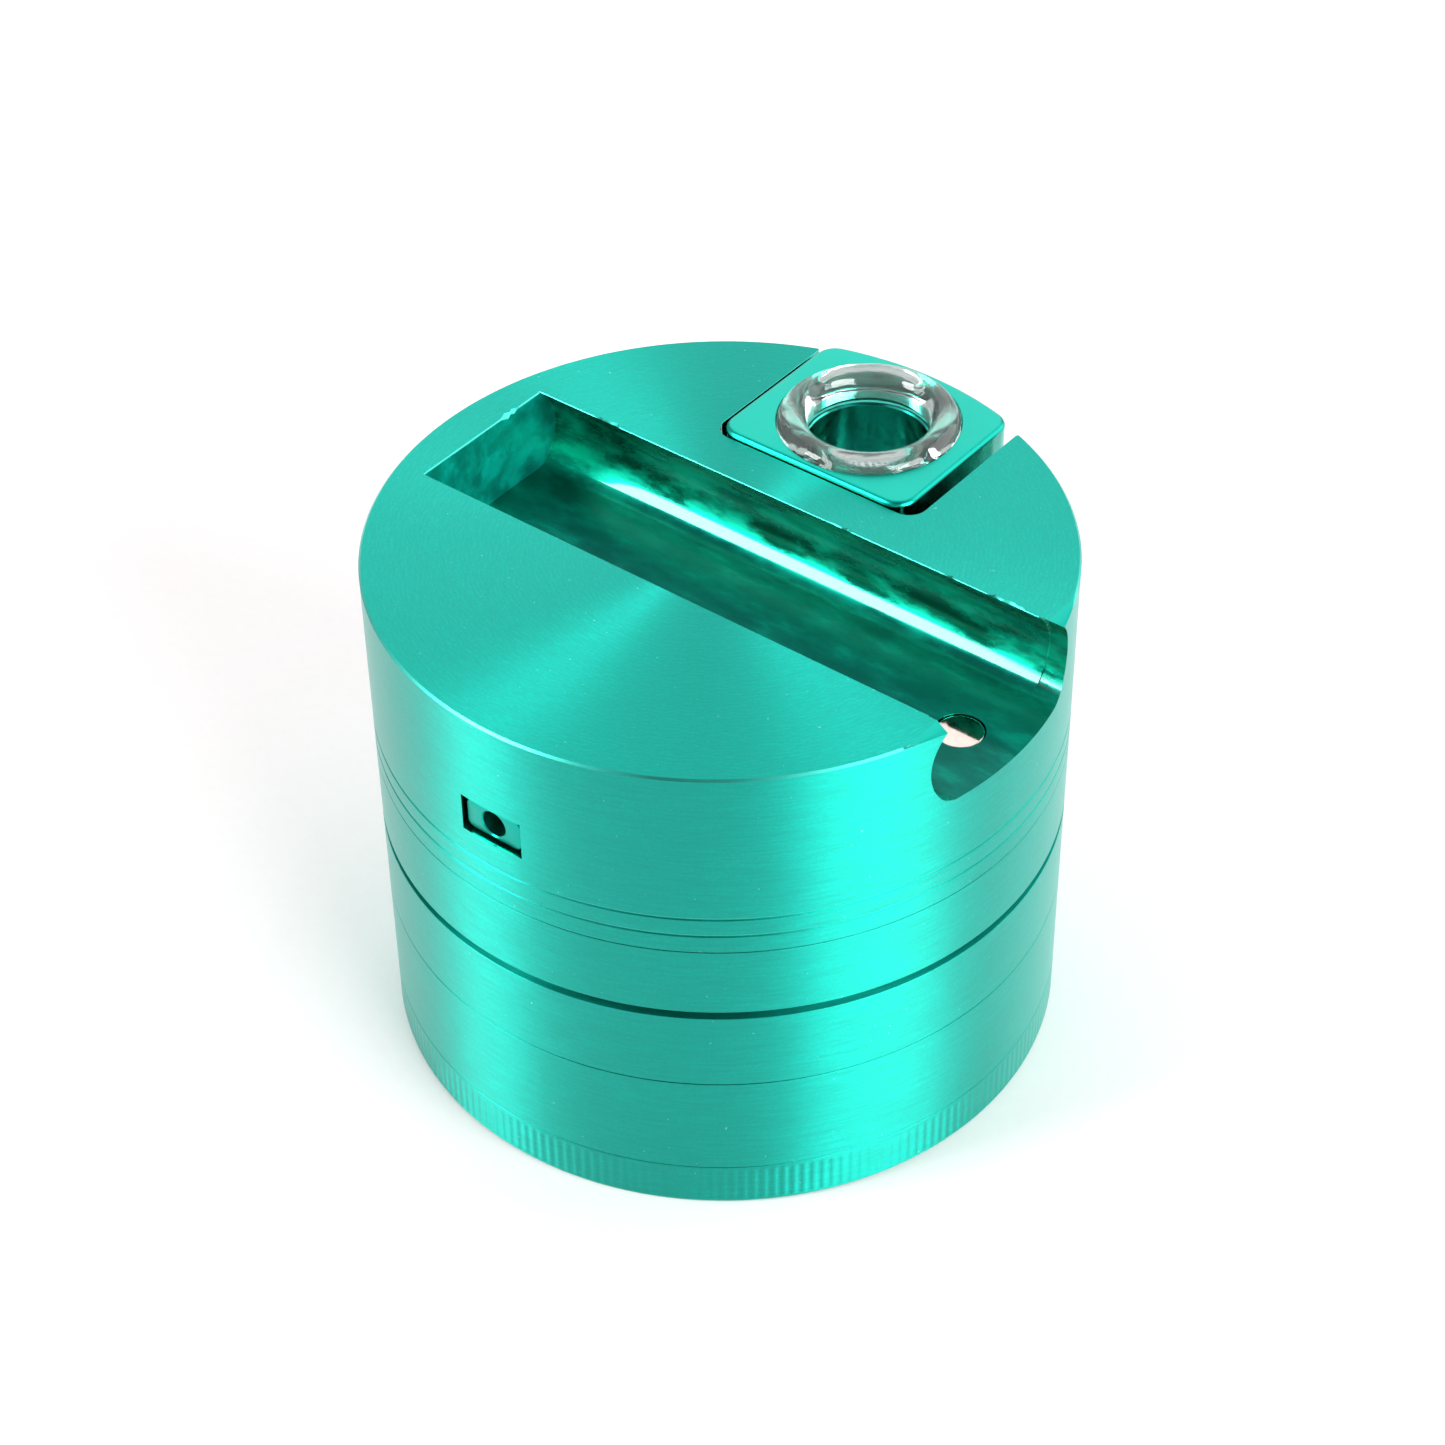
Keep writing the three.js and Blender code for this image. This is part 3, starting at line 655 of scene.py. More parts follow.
def sieve_chamber():
    height = GRIND_Z - SIEVE_Z
    shoulder = height - SEAM
    rim = height + COLLAR_H
    ledge = COLLAR_H + COLLAR_ROOM
    snap = ledge + LEDGE_T + 0.4
    profile = [
        *lower_edge(),
        *arc(BODY_R - EDGE, shoulder - EDGE, EDGE, 0, 90, 3),
        (COLLAR_R - THREAD_DEPTH, shoulder),
        *thread(COLLAR_R, shoulder + 0.2, rim - 0.3, 1),
        (COLLAR_R - THREAD_DEPTH - 0.15, rim),
        (SIEVE_WALL_R + 0.2, rim),
        (SIEVE_WALL_R, rim - 0.2),
        (SIEVE_WALL_R, snap + 1),
        (SNAP_GROOVE_R, snap + 1),
        (SNAP_GROOVE_R, snap),
        (SIEVE_WALL_R, snap),
        (SIEVE_WALL_R, ledge + LEDGE_T),
        (LEDGE_R + 0.15, ledge + LEDGE_T),
        (LEDGE_R, ledge + LEDGE_T - 0.15),
        (LEDGE_R, ledge),
        *section_bore(ledge),
    ]
    made = lathe("sieve_chamber_turned", profile, z=SIEVE_Z)
    finish(made, "sieve_section", ["sieve_chamber"], [TURNED])


WIRE_PITCH = 1.1
WIRE_R = 0.09


def wire(start, end, phase):
    """One wire of the sieve, waved over and under the wires that cross it."""
    length = (end - start).length
    steps = max(2, round(length / WIRE_PITCH * 2))
    along = (end - start).normalized()
    side = Vector((-along.y, along.x, 0))
    rings = []
    for k in range(steps + 1):
        at = start + along * (length * k / steps)
        reach = at.dot(along) / WIRE_PITCH + phase
        at.z += WIRE_R * math.cos(math.pi * reach)
        corners = [(WIRE_R, 0), (0, WIRE_R), (-WIRE_R, 0), (0, -WIRE_R)]
        rings.append([tuple(at + side * u + Vector((0, 0, v))) for u, v in corners])
    return rings


def sieve_screen():
    low, high = extent("sieve_screen")
    hoop_r = high.x - 0.4
    z = (low.z + high.z) / 2
    count = int(hoop_r / WIRE_PITCH)
    vertices = []
    faces = []
    for k in range(-count, count + 1):
        reach = math.sqrt(hoop_r**2 - (k * WIRE_PITCH) ** 2)
        offset_y = k * WIRE_PITCH
        if reach < 1:
            continue
        for ends, phase in (
            ((Vector((-reach, offset_y, z)), Vector((reach, offset_y, z))), k),
            ((Vector((offset_y, -reach, z)), Vector((offset_y, reach, z))), k + 1),
        ):
            rings = wire(*ends, phase)
            base = len(vertices)
            vertices += [v for ring in rings for v in ring]
            for step in range(len(rings) - 1):
                for i in range(4):
                    a = base + step * 4
                    j = (i + 1) % 4
                    faces.append((a + i, a + j, a + 4 + j, a + 4 + i))
    made = mesh_object("sieve_screen_woven", vertices, faces)
    hoop = rounded(
        [
            (high.x, low.z, 0.1),
            (high.x, high.z, 0.1),
            (high.x - 0.9, high.z, 0.1),
            (high.x - 0.9, low.z, 0.1),
        ],
        closed=True,
        steps=2,
    )
    joined(made, [lathe("hoop", hoop, 128)])
    finish(made, "sieve_section", ["sieve_screen"], [STEEL])


SNAP_GAP = 1.5  # half the ring's opening
SNAP_EYE_R = 0.9
SNAP_EYE_IN = 1.4  # how far the middle of an eye lies inside the wire's path


def snap_ring():
    """Round spring wire, open at +X, with a small eye turned in at each end."""
    low, high = extent("screen_snap_ring")
    wire_r = (high.z - low.z) / 2
    centre_r = high.y - wire_r
    z = (low.z + high.z) / 2
    gap = math.degrees(SNAP_GAP / centre_r)
    eye_x = centre_r - SNAP_EYE_IN
    eye_y = centre_r * math.sin(math.radians(gap)) + 0.1
    path = [
        *arc(eye_x, eye_y, SNAP_EYE_R, -90, -10, 8),
        *arc(0, 0, centre_r, gap + 2, 358 - gap, 160),
        *arc(eye_x, -eye_y, SNAP_EYE_R, 10, 90, 8),
    ]
    rings = []
    for i, point in enumerate(path):
        before = Vector(path[max(i - 1, 0)])
        after = Vector(path[min(i + 1, len(path) - 1)])
        along = (after - before).normalized()
        side = Vector((-along.y, along.x))
        ring = arc(0, 0, wire_r, 0, 337.5, 15)
        rings.append([(point[0] + side.x * u, point[1] + side.y * u, z + v) for u, v in ring])
    made = loft("screen_snap_ring_wire", rings)
    finish(made, "sieve_section", ["screen_snap_ring"], [STEEL])


# ---------------------------------------------------------------- grinding chamber and tooth lid


def tooth(radius, angle, foot_z, height):
    """A rhombic tooth with softened edges. A negative height makes it hang."""
    section = rounded(
        [
            (TOOTH_WIDE / 2, 0, 0.25),
            (0, TOOTH_LONG / 2, 0.35),
            (-TOOTH_WIDE / 2, 0, 0.25),
            (0, -TOOTH_LONG / 2, 0.35),
        ],
        closed=True,
        steps=3,
    )
    up = math.copysign(1, height)
    levels = [
        (-0.3, 1.0),
        (abs(height) - 1.6, 1.0),
        (abs(height) - 0.12, 0.6),
        (abs(height), 0.52),
    ]
    turn = Matrix.Rotation(angle, 3, "Z")
    rings = []
    for level, scale in levels:
        ring = [turn @ Vector((radius + u * scale, v * scale, 0)) for u, v in section]
        rings.append([(p.x, p.y, foot_z + up * level) for p in ring])
    return loft("tooth", rings)


def teeth(rows, foot_z, height):
    return [
        tooth(radius, math.radians(first) + TAU * i / count, foot_z, height)
        for radius, count, first in rows
        for i in range(count)
    ]


def grinding_chamber():
    height = GLIDE_Z - GRIND_Z
    under = COLLAR_H + COLLAR_ROOM
    floor = under + PLATE
    profile = [
        (0, under),
        *section_bore(under),
        *lower_edge(),
        *arc(BODY_R - EDGE, height - EDGE, EDGE, 0, 90, 3),
        (GRIND_COLLAR_R, height),
        *arc(GRIND_COLLAR_R - 0.3, GRIND_RIM - 0.3, 0.3, 0, 90, 4),
        *arc(GRIND_WALL_R + 0.3, GRIND_RIM - 0.3, 0.3, 90, 180, 4),
        *arc(GRIND_WALL_R - 0.8, floor + 0.8, 0.8, 0, -90, 5),
        (HUB_R, floor),
        *arc(HUB_R - 0.3, HUB_TOP - 0.3, 0.3, 0, 90, 4),
        (MAGNET_POCKET_R, HUB_TOP),
        (MAGNET_POCKET_R, HUB_TOP - MAGNET_POCKET_H),
        (0, HUB_TOP - MAGNET_POCKET_H),
    ]
    made = lathe("grinding_chamber_turned", profile, z=GRIND_Z)
    holes = [
        disc(
            "hole",
            DROP_HOLE_R,
            radius * math.cos(math.radians(first) + TAU * i / count),
            radius * math.sin(math.radians(first) + TAU * i / count),
            GRIND_Z + under - OVER,
            GRIND_Z + floor + OVER,
            40,
        )
        for radius, count, first in DROP_HOLES
        for i in range(count)
    ]
    combined(made, [joined(holes[0], holes[1:])])
    joined(made, teeth(CHAMBER_TEETH, GRIND_Z + floor, CHAMBER_TOOTH_H))
    finish(made, "grinding_section", ["grinding_chamber"], [TURNED])


def tooth_lid():
    height = DOCK_Z - LID_Z
    shoulder = height - SEAM
    rim = height + COLLAR_H
    pocket = LID_HUB_Z + MAGNET_POCKET_H
    profile = [
        (0, pocket),
        (MAGNET_POCKET_R, pocket),
        (MAGNET_POCKET_R, LID_HUB_Z),
        *arc(HUB_R - 0.3, LID_HUB_Z + 0.3, 0.3, -90, 0, 4),
        (HUB_R, LID_CEILING),
        *reversed(arc(LID_SKIRT_R - 0.6, LID_CEILING - 0.6, 0.6, 0, 90, 4)),
        (LID_SKIRT_R, 0.2),
        (LID_SKIRT_R + 0.2, 0),
        *arc(BODY_R - EDGE, EDGE, EDGE, -90, 0, 3),
        *arc(BODY_R - EDGE, shoulder - EDGE, EDGE, 0, 90, 3),
        (COLLAR_R - THREAD_DEPTH, shoulder),
        *thread(COLLAR_R, shoulder + 0.2, rim - 0.3, 1),
        (COLLAR_R - THREAD_DEPTH - 0.15, rim),
        (COLLAR_INNER_R + 0.2, rim),
        (COLLAR_INNER_R, rim - 0.2),
        (COLLAR_INNER_R, height),
        (0, height),
    ]
    made = lathe("tooth_lid_turned", profile, z=LID_Z)
    joined(made, teeth(LID_TEETH, LID_Z + LID_CEILING, -LID_TOOTH_H))
    finish(made, "tooth_lid", ["tooth_lid"], [TURNED])


def glide_ring():
    profile = rounded(
        [
            (GLIDE_HIGH.x, GLIDE_LOW.z, 0.15),
            (GLIDE_HIGH.x, GLIDE_HIGH.z, 0.15),
            (GLIDE_BORE_R, GLIDE_HIGH.z, 0.15),
            (GLIDE_BORE_R, GLIDE_LOW.z, 0.15),
        ],
        closed=True,
    )
    made = lathe("glide_ring_moulded", profile)
    finish(made, "glide_ring", ["glide_ring"], [NYLON])


# ---------------------------------------------------------------- dock

GROOVE_ZS = (1.85, 3.75)
GROOVE_W = 0.26
GROOVE_D = 0.11
GROOVE_LIP = 0.12  # a bevel over each groove
TOP_CHAMFER = 0.19
FALL_HALF = 16


def channel_section(grow=0.0, lift=0.0):
    """The lighter channel's oval section in the Y-Z plane, about the top face at z = 0, with a
    small cove along each side of its floor. grow widens it, and lift raises its floor."""
    r = CHANNEL_SIDE_R + grow
    cove = CHANNEL_COVE_R
    cove_z = lift - CHANNEL_DEPTH + cove
    cove_y = CHANNEL_SIDE_Y + math.sqrt((r - cove) ** 2 - (cove_z + CHANNEL_AXIS) ** 2)
    low = math.degrees(math.atan2(-CHANNEL_AXIS - cove_z, cove_y - CHANNEL_SIDE_Y))
    high = math.degrees(math.asin(min((CHANNEL_AXIS + OVER) / r, 1)))
    return [
        *arc(cove_y, cove_z, cove, -90, -low, 8),
        *arc(CHANNEL_SIDE_Y, -CHANNEL_AXIS, r, -low, high, 20)[1:],
        *arc(-CHANNEL_SIDE_Y, -CHANNEL_AXIS, r, 180 - high, 180 + low, 20),
        *arc(-cove_y, cove_z, cove, 180 + low, 270, 8)[1:],
    ]


def run_x(name, section, x0, x1, z):
    return loft(name, [[(x, y, z + v) for y, v in section] for x in (x0, x1)])


def broken_edge(outline, widths, over=0.2):
    """Rings that take the sharp edge off a pocket's mouth, wider here and narrower there."""
    far = offset(outline, 1)
    lower = [(x, y, TOP_Z - w) for (x, y), w in zip(outline, widths)]
    upper = []
    for (x, y), (fx, fy), w in zip(outline, far, widths):
        reach = w + over
        upper.append((x + (fx - x) * reach, y + (fy - y) * reach, TOP_Z + over))
    return [lower, upper]


def channel_mouth_outline():
    """Plan of the channel's top edge, with points close enough to carry nicks."""
    half = CHANNEL_SIDE_Y + math.sqrt(CHANNEL_SIDE_R**2 - CHANNEL_AXIS**2)
    step = 0.45
    along = int((BODY_R + OVER - CHANNEL_END_X) / step)
    across = int(2 * half / step)
    front = [(CHANNEL_END_X + i * step, -half) for i in range(along)]
    back = [(x, half) for x, _ in reversed(front)]
    end = [(CHANNEL_END_X, half - 2 * half * (i + 1) / across) for i in range(across - 1)]
    return front + back + end


def nicks(outline, plain, seed):
    """A width for each point of an edge: mostly plain, with a few ragged stretches."""
    widths = []
    for x, y in outline:
        rough = noise.noise(Vector((x * 0.22, y * 0.4, seed)))
        fine = abs(noise.noise(Vector((x * 1.3, y * 1.3, seed + 5))))
        ragged = 0.8 if rough > 0.25 and y > 0 else 0.03
        widths.append(plain + ragged * fine)
    return widths


def slot_plan():
    """Plan of the pipe's slot: rounded corners inside, and flared ones at the rim."""
    h, r, m = SLOT_HALF, SLOT_CORNER_R, SLOT_MOUTH_R

    def mouth_y(x):
        return math.sqrt(BODY_R**2 - (SLOT_X + x) ** 2) - m

    plan = [
        *arc(-h + r, SLOT_IN_Y + r, r, 180, 270, 10),
        *arc(h - r, SLOT_IN_Y + r, r, 270, 360, 10),
        *arc(h + m, mouth_y(h + m), m, 180, 90, 6),
        (h + m, BODY_R + OVER),
        (-h - m, BODY_R + OVER),
        *arc(-h - m, mouth_y(-h - m), m, 90, 0, 6),
    ]
    return [(SLOT_X + x, y) for x, y in plan]


def dock_cutters():
    stepped = channel_section(MOUTH_STEP, MOUTH_STEP)
    reach = BODY_R + OVER - MOUTH_FALL_X
    wedge = [(-OVER, OVER * MOUTH_FALL), (reach, OVER), (reach, -reach * MOUTH_FALL)]
    fall = loft(
        "mouth_fall",
        [[(MOUTH_FALL_X + u, y, TOP_Z + v) for u, v in wedge] for y in (-FALL_HALF, FALL_HALF)],
    )
    edge = channel_mouth_outline()
    slot = slot_plan()
    slot_floor = [(x, y, SLOT_FLOOR_Z) for x, y in slot]
    stem_z = (STEM_LOW.z + STEM_HIGH.z) / 2
    magnet_low, magnet_high = extent("lighter_magnet")
    magnet_x = (magnet_low.x + magnet_high.x) / 2
    magnet_r = magnet_high.y + 0.1
    cutters = [
        run_x("channel", channel_section(), CHANNEL_END_X, BODY_R + OVER, TOP_Z),
        run_x("mouth_step", stepped, MOUTH_STEP_X, BODY_R + OVER, TOP_Z),
        fall,
        loft("channel_edge", broken_edge(edge, nicks(edge, 0.1, 3))),
        loft("slot", [slot_floor, *broken_edge(slot, [SLOT_EDGE] * len(slot))]),
        block(
            "tunnel",
            (-TUNNEL_W / 2, -BODY_R - OVER, stem_z - TUNNEL_H / 2),
            (TUNNEL_W / 2, SLOT_IN_Y + OVER, stem_z + TUNNEL_H / 2),
        ),
        disc("magnet_pocket", magnet_r, magnet_x, 0, magnet_low.z - 0.1, TOP_Z - CHANNEL_DEPTH + OVER),
    ]
    for side in (-1, 1):
        pocket = rod_y(
            "latch_pocket",
            LATCH_POCKET_R,
            side * LATCH_X,
            TOP_Z - LATCH_DEPTH,
            SLOT_IN_Y - LATCH_POCKET_H,
            SLOT_IN_Y + OVER,
        )
        cutters.append(pocket)
    return cutters


DOCK_FINISHES = [TURNED, FACED, WORN_AND_SHEEN_EDGES, CHANNEL, CHANNEL_FLOOR, CHANNEL_END, MILLED, SATIN]


def dock_finish(at, normal):
    """Which of DOCK_FINISHES a face has."""
    radius = math.hypot(at.x, at.y)
    radial = Vector((at.x, at.y, 0)).normalized().dot(normal)
    if normal.z > 0.9 and at.z > TOP_Z - 0.01:
        return 1
    if at.z < DOCK_Z + COLLAR_H + COLLAR_ROOM + 0.1:
        # Index 2 gives the lower edge, the groove lips and the top edges the paler teal, which is part wear
        # and part painted highlight.
        return 2 if 0.2 < radial < 0.99 and normal.z < -0.1 and radius > BODY_R - 0.1 else 0
    if radius > BODY_R - 0.4 and radial > 0.8:
        return 0
    if normal.z > 0.5 and at.z > TOP_Z - 1:
        return 7 if normal.z > 0.9 else 2
    if at.y > SLOT_IN_Y - LATCH_POCKET_H - 0.1 or at.z < TOP_Z - CHANNEL_DEPTH - 0.05:
        return 6
    if normal.z > 0.7 and at.z < TOP_Z - CHANNEL_DEPTH + 0.5:
        return 4
    return 5 if normal.x > 0.9 and at.x < CHANNEL_END_X + 0.1 else 3


def dock():
    roof = COLLAR_H + COLLAR_ROOM / 2
    height = TOP_Z - DOCK_Z
    grooves = []
    for z in GROOVE_ZS:
        grooves += [
            (BODY_R, z - GROOVE_W / 2),
            (BODY_R - GROOVE_D, z - GROOVE_W / 6),
            (BODY_R - GROOVE_D, z + GROOVE_W / 6),
            (BODY_R - GROOVE_LIP / 2, z + GROOVE_W / 4),
            (BODY_R, z + GROOVE_W / 4 + GROOVE_LIP),
        ]
    profile = [
        (0, roof),
        *section_bore(roof),
        *lower_edge(),
        *grooves,
        (BODY_R, height - TOP_CHAMFER),
        (BODY_R - TOP_CHAMFER, height),
        (0, height),
    ]
    made = lathe("dock_turned", profile, z=DOCK_Z)
    combined(made, dock_cutters())
    finish(made, "dock", ["dock_body"], DOCK_FINISHES, dock_finish)


# ---------------------------------------------------------------- magnets


def magnet(node, body, axis):
    """A plated disc with rounded edges, which stands in for a CAD magnet. axis is "Z" or "Y"."""
    low, high = extent(node)
    centre = (low + high) / 2
    size = high - low
    r = size.x / 2
    thick = size.z if axis == "Z" else size.y
    edge = 0.15
    profile = [
        (0, -thick / 2),
        *arc(r - edge, -thick / 2 + edge, edge, -90, 0, 4),
        *arc(r - edge, thick / 2 - edge, edge, 0, 90, 4),
        (0, thick / 2),
    ]
    made = lathe(node + "_plated", profile, 96)
    if axis == "Y":
        made.data.transform(Matrix.Rotation(math.pi / 2, 4, "X"))
    made.data.transform(Matrix.Translation(centre * MM))
    finish(made, body, [node], [NICKEL])


# ---------------------------------------------------------------- pipe


def block_outline(inset):
    """The block's plan at rays round the bowl's centre, pulled in by inset."""
    half = BLOCK_HIGH.x - inset
    front = BLOCK_LOW.y + inset
    rim = BODY_R - inset
    corner = BLOCK_CORNER_R - inset * 0.6
    rear_y = math.sqrt((rim - corner) ** 2 - (half - corner) ** 2)
    turn = math.degrees(math.acos((half - corner) / (rim - corner)))
    plan = [
        *arc(-half + corner, front + corner, corner, 180, 270, 12),
        *arc(half - corner, front + corner, corner, 270, 360, 12),
        *arc(half - corner, rear_y, corner, 0, turn, 8),
        *arc(0, 0, rim, turn, 180 - turn, 40)[1:-1],
        *arc(-half + corner, rear_y, corner, 180 - turn, 180, 8),
    ]
    centre = Vector((0, BOWL_Y))
    points = []
    for i in range(BLOCK_ROUND):
        t = TAU * i / BLOCK_ROUND
        ray = Vector((math.cos(t), math.sin(t)))
        points.append(tuple(centre + ray * ray_reach(centre, ray, plan)))
    return points


def ray_reach(origin, ray, outline):
    """How far a ray from inside a closed outline runs before it meets it."""
    for i, end in enumerate(outline):
        a = Vector(outline[i - 1]) - origin
        b = Vector(end) - origin
        edge = b - a
        cross = ray.x * edge.y - ray.y * edge.x
        if abs(cross) < 1e-12:
            continue
        reach = (a.x * edge.y - a.y * edge.x) / cross
        share = (a.x * ray.y - a.y * ray.x) / cross
        if reach > 0 and -1e-9 <= share <= 1 + 1e-9:
            return reach
    raise ValueError("the outline doesn't surround the ray's origin")


def block_finish(at, normal):
    """The block's top is satin, its outer face is turned with the body, and the rest is milled."""
    if normal.z > 0.3 and at.z > BLOCK_HIGH.z - BLOCK_EDGE - 0.01:
        return 0
    return 2 if math.hypot(at.x, at.y) > BODY_R - 0.4 and abs(normal.z) < 0.7 else 1


def pipe_block():
    top = BLOCK_HIGH.z
    bottom = BLOCK_LOW.z
    edge = BLOCK_EDGE

    def plan(inset, z):
        return [(x, y, z) for x, y in block_outline(inset)]

    def bore(r, z):
        last = 360 - 360 / BLOCK_ROUND
        return [(x, y, z) for x, y in arc(0, BOWL_Y, r, 0, last, BLOCK_ROUND - 1)]

    rings = [plan(0.3, bottom), plan(0, bottom + 0.3)]
    for k in range(7):
        t = math.radians(90 * k / 6)
        rings.append(plan(edge * (1 - math.cos(t)), top - edge + edge * math.sin(t)))
    rings += [
        bore(SEAT_R + 0.05, top),
        bore(SEAT_R, top - 0.05),
        bore(SEAT_R, TOP_Z - SEAT_DEPTH),
        bore(CAVITY_R + 0.15, TOP_Z - SEAT_DEPTH),
        bore(CAVITY_R, TOP_Z - SEAT_DEPTH - 0.15),
        bore(CAVITY_R, TOP_Z - CAVITY_DEPTH),
        bore(DRAW_R + 0.1, TOP_Z - CAVITY_DEPTH),
        bore(DRAW_R, TOP_Z - CAVITY_DEPTH - 0.1),
        bore(DRAW_R, TOP_Z - DRAW_DEPTH + 0.5),
        bore(DRAW_R - 0.5, TOP_Z - DRAW_DEPTH),
    ]
    made = loft("pipe_block_milled", rings)
    stem_z = (STEM_LOW.z + STEM_HIGH.z) / 2
    socket = block(
        "socket",
        (STEM_LOW.x - 0.1, BLOCK_LOW.y - OVER, STEM_LOW.z - 0.1),
        (STEM_HIGH.x + 0.1, STEM_HIGH.y + 0.1, STEM_HIGH.z + 0.1),
    )
    airway = rod_y("airway", AIRWAY_R, 0, stem_z, BLOCK_LOW.y, BOWL_Y)
    pockets = [
        rod_y(
            "pocket",
            LATCH_POCKET_R,
            side * LATCH_X,
            TOP_Z - LATCH_DEPTH,
            BLOCK_LOW.y - OVER,
            BLOCK_LOW.y + LATCH_POCKET_H,
        )
        for side in (-1, 1)
    ]
    combined(made, [socket, airway, *pockets])
    finish(
        made,
        "pipe",
        ["pipe_block"],
        [SATIN, MILLED, TURNED],
        block_finish,
    )


def pipe_stem():
    """A flat bar with rounded edges and ends, and an airway from end to end."""
    w = (STEM_HIGH.x - STEM_LOW.x) / 2
    h = (STEM_HIGH.z - STEM_LOW.z) / 2
    z = (STEM_LOW.z + STEM_HIGH.z) / 2
    r = 0.7
    outline = [
        *arc(w - r, h - r, r, 0, 90, 8),
        *arc(-w + r, h - r, r, 90, 180, 8),
        *arc(-w + r, -h + r, r, 180, 270, 8),
        *arc(w - r, -h + r, r, 270, 360, 8),
    ]
    rays = [Vector((math.cos(TAU * i / 96), math.sin(TAU * i / 96))) for i in range(96)]
    reaches = [ray_reach(Vector((0, 0)), ray, outline) for ray in rays]

    def skin(inset, y):
        return [
            (ray.x * reach * (1 - inset / w), y, z + ray.y * reach * (1 - inset / h))
            for ray, reach in zip(rays, reaches)
        ]

    def hole(radius, y):
        return [(radius * ray.x, y, z + radius * ray.y) for ray in rays]

    near, far = STEM_LOW.y, STEM_HIGH.y
    rings = [
        skin(0.25, near),
        skin(0.08, near + 0.07),
        skin(0, near + 0.25),
        skin(0, far - 0.2),
        skin(0.2, far),
        hole(AIRWAY_R, far),
        hole(AIRWAY_R, near + 0.12),
        hole(AIRWAY_R + 0.12, near),
    ]
    made = looped("pipe_stem_milled", rings)
    finish(made, "pipe", ["pipe_stem"], [SATIN])


def glass_bowl():
    """The bowl's thick glass ring: its top is steeper inside its crest than outside it."""
    r = GLASS_HIGH.x
    top = GLASS_HIGH.z
    bottom = GLASS_LOW.z
    outside = [
        (GLASS_CREST_R + (r - GLASS_CREST_R) * u, top + GLASS_SHOULDER * (v - 1))
        for u, v in arc(0, 0, 1, 0, 90, 14)
    ]
    inside = [
        (GLASS_CREST_R + (GLASS_CREST_R - GLASS_HOLE_R) * u, top + GLASS_LIP * (v - 1))
        for u, v in arc(0, 0, 1, 90, 180, 14)[1:]
    ]
    foot = 0.3
    profile = [
        *arc(GLASS_HOLE_R + foot, bottom + foot, foot, 180, 270, 5),
        *arc(r - foot, bottom + foot, foot, 270, 360, 5),
        *outside,
        *inside,
    ]
    made = lathe("glass_bowl_ring", profile, BOWL_ROUND)
    made.data.transform(Matrix.Translation((0, BOWL_Y * MM, 0)))
    finish(made, "bowl", ["glass_bowl"], [GLASS])


def bowl_seal():
    low, high = extent("bowl_seal")
    top = high.z - SEAL_ROOM
    profile = rounded(
        [
            (high.x, low.z, 0.15),
            (high.x, top, 0.15),
            (SEAL_HOLE_R, top, 0.15),
            (SEAL_HOLE_R, low.z, 0.15),
        ],
        closed=True,
    )
    made = lathe("bowl_seal_ring", profile, 96)
    made.data.transform(Matrix.Translation((0, BOWL_Y * MM, 0)))
    finish(made, "pipe", ["bowl_seal"], [SILICONE])


SCREEN_RINGS = 5
SCREEN_PITCH = 1.05
SCREEN_HOLE_R = 0.3


def bowl_screen():
    """A thin disc pierced by rings of small holes."""
    low, high = extent("bowl_screen")
    r = high.x
    edge = 0.05
    profile = [
        (0, low.z),
        (r - edge, low.z),
        (r, low.z + edge),
        (r, high.z - edge),
        (r - edge, high.z),
        (0, high.z),
    ]
    made = lathe("bowl_screen_pierced", profile, 96)
    holes = []
    for ring in range(SCREEN_RINGS):
        out = ring * SCREEN_PITCH
        count = max(1, 6 * ring)
        for i in range(count):
            t = TAU * i / count
            at = (out * math.cos(t), out * math.sin(t))
            holes.append(disc("hole", SCREEN_HOLE_R, *at, low.z - OVER, high.z + OVER, 16))
    combined(made, [joined(holes[0], holes[1:])])
    made.data.transform(Matrix.Translation((0, BOWL_Y * MM, 0)))
    finish(made, "pipe", ["bowl_screen"], [STEEL])


# ---------------------------------------------------------------- the object

pollen_catcher()
sieve_chamber()
sieve_screen()
snap_ring()
grinding_chamber()
glide_ring()
tooth_lid()
dock()
magnet("chamber_magnet", "grinding_section", "Z")
magnet("lid_magnet", "tooth_lid", "Z")
magnet("lighter_magnet", "dock", "Z")
magnet("slot_magnet_left", "dock", "Y")
magnet("slot_magnet_right", "dock", "Y")
magnet("pipe_magnet_left", "pipe", "Y")
magnet("pipe_magnet_right", "pipe", "Y")
pipe_block()
pipe_stem()
glass_bowl()
bowl_seal()
bowl_screen()


# ---------------------------------------------------------------- stage, light and camera

CAMERA_AZIMUTH = math.radians(38.5)
CAMERA_ELEVATION = math.radians(37.3)
CAMERA_DISTANCE = 289.16
CAMERA_TILT = math.radians(-3.12)  # it aims this far below the top face's centre
CAMERA_ROLL = math.radians(0.86)
CAMERA_LENS = 82.4


def direction(azimuth, elevation):
    """From the object towards a place, with azimuth 0 at -Y and growing towards +X."""
    flat = math.cos(elevation)
    return Vector((math.sin(azimuth) * flat, -math.cos(azimuth) * flat, math.sin(elevation)))


def camera():
    back = direction(CAMERA_AZIMUTH, CAMERA_ELEVATION)
    right = Vector((math.cos(CAMERA_AZIMUTH), math.sin(CAMERA_AZIMUTH), 0))
    up = back.cross(right)
    aim = Matrix((right, up, back)).transposed()
    aim = aim @ Matrix.Rotation(CAMERA_TILT, 3, "X") @ Matrix.Rotation(-CAMERA_ROLL, 3, "Z")
    data = bpy.data.cameras.new("camera")
    data.lens = CAMERA_LENS
    data.clip_start = 0.01
    made = bpy.data.objects.new("camera", data)
    place = (Vector((0, 0, TOP_Z)) + back * CAMERA_DISTANCE) * MM
    made.matrix_world = Matrix.Translation(place) @ aim.to_4x4()
    bpy.context.scene.collection.objects.link(made)
    bpy.context.scene.camera = made


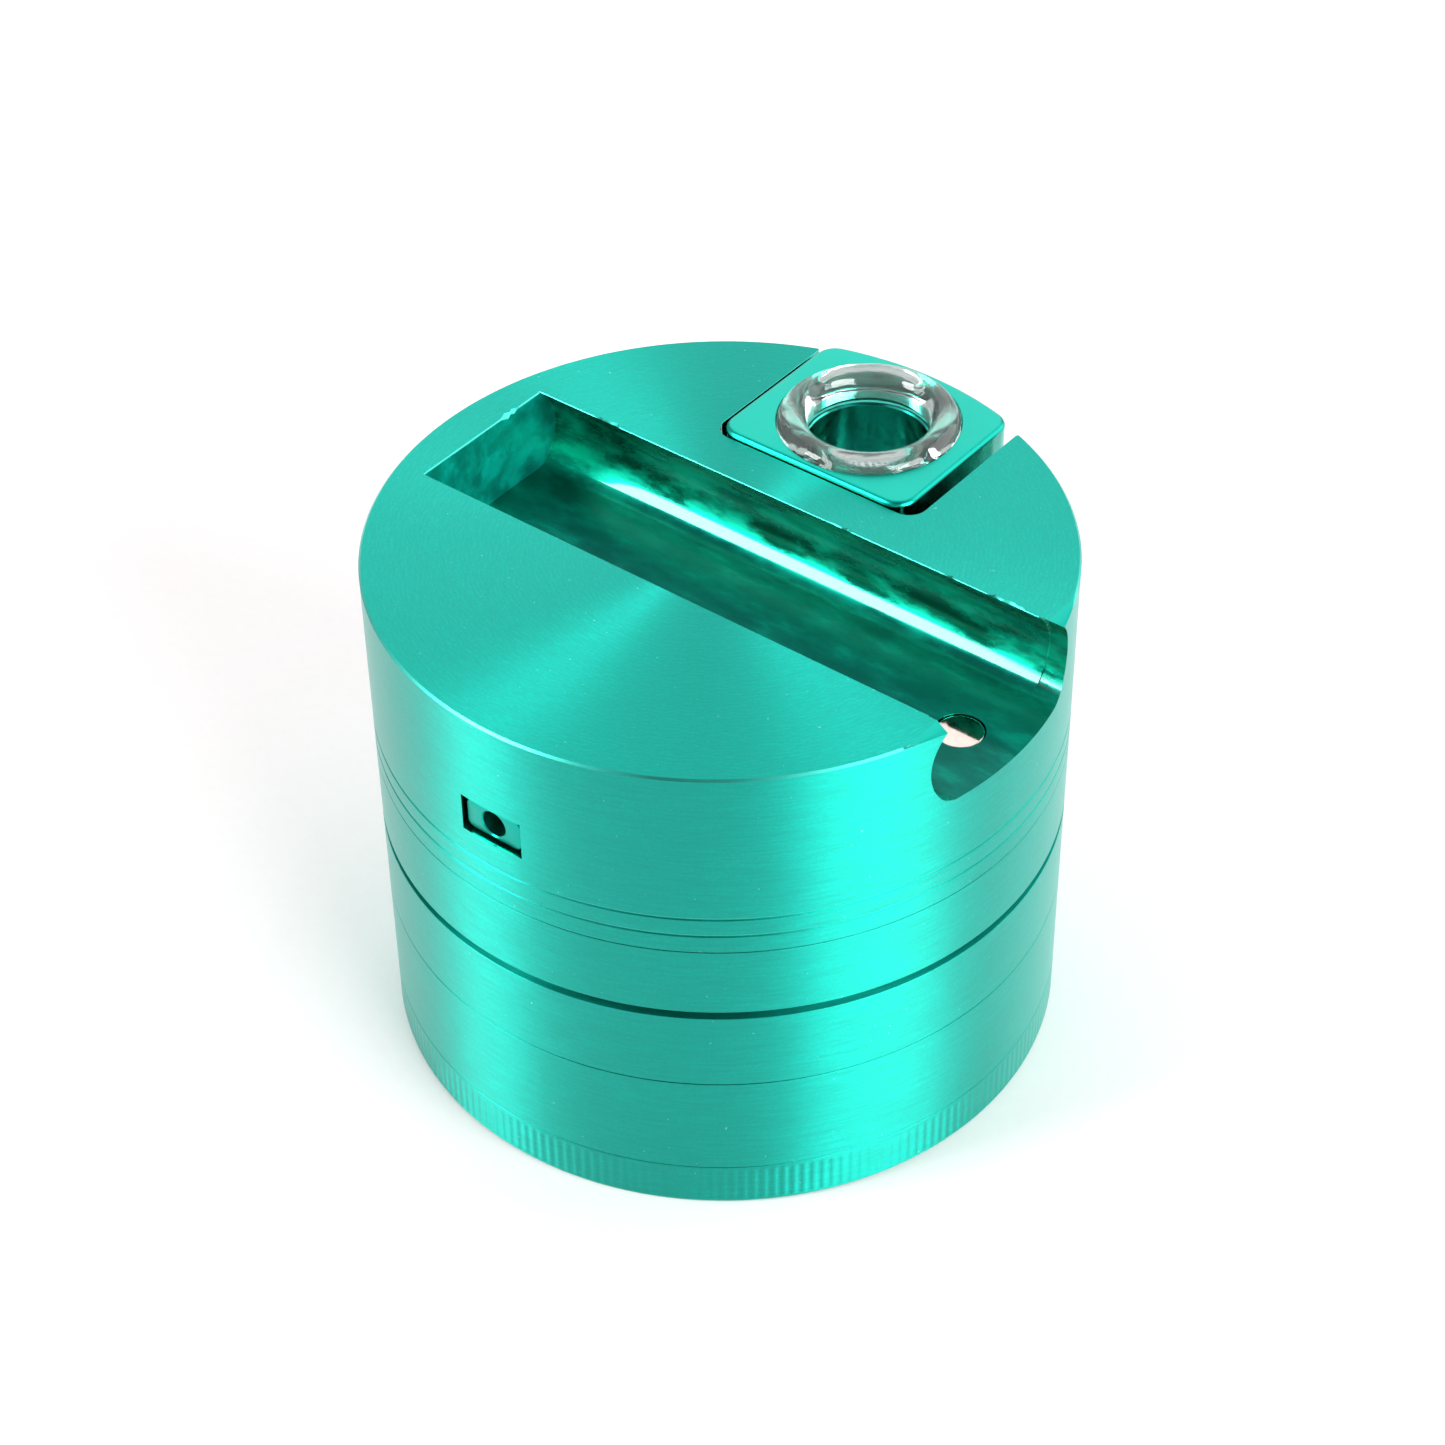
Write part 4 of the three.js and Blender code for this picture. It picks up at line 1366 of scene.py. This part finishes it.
def softbox(name, azimuth, elevation, distance, width, height, watts):
    """An area light that faces the object, at an azimuth counted from the camera's."""
    data = bpy.data.lights.new(name, "AREA")
    data.shape = "RECTANGLE"
    data.size = width
    data.size_y = height
    data.energy = watts
    made = bpy.data.objects.new(name, data)
    towards = direction(CAMERA_AZIMUTH + math.radians(azimuth), math.radians(elevation))
    made.location = Vector((0, 0, 0.025)) + towards * distance
    made.rotation_euler = towards.to_track_quat("Z", "Y").to_euler()
    bpy.context.scene.collection.objects.link(made)


def floor():
    made = block("floor", (-4000, -4000, -20), (4000, 4000, 0))
    n = Nodes("white_paper")
    grain = n.noise(n.place(), 900.0, 3)
    n.put(n.shader.inputs["Base Color"], n.blend(grain, (0.83, 0.785, 0.79, 1), (0.8, 0.755, 0.76, 1)))
    n.set(Roughness=0.9)
    made.data.materials.append(n.material)


def flag():
    """A black card over the camera, for the dark lines that the photograph's front edges have.
    It doesn't show through glass."""
    made = block("flag", (-500, -400, -2), (500, 400, 2))
    towards = direction(CAMERA_AZIMUTH, math.radians(57))
    made.location = towards * 1.2
    made.rotation_euler = towards.to_track_quat("Z", "Y").to_euler()
    n = Nodes("black_card")
    weave = n.noise(n.place(), 300.0, 2)
    n.put(n.shader.inputs["Base Color"], n.blend(weave, (0.008, 0.008, 0.008, 1), (0.014, 0.014, 0.014, 1)))
    n.set(Roughness=0.9)
    made.data.materials.append(n.material)
    made.visible_transmission = False


def world():
    made = bpy.data.worlds.new("studio")
    made.use_nodes = True
    background = made.node_tree.nodes["Background"]
    background.inputs["Color"].default_value = (1.0, 1.0, 1.0, 1)
    background.inputs["Strength"].default_value = 0.53
    bpy.context.scene.world = made


floor()
world()
softbox("key_right", 44, 20, 1.5, 1.1, 1.0, 35)
softbox("fill_left", -75, 25, 1.5, 0.52, 0.8, 20)
softbox("wall_right", 110, 25, 1.5, 1.2, 1.2, 8)
softbox("back_wall", 180, 42, 1.5, 1.5, 2.2, 12)
flag()
camera()
bpy.context.scene.view_settings.view_transform = "Standard"
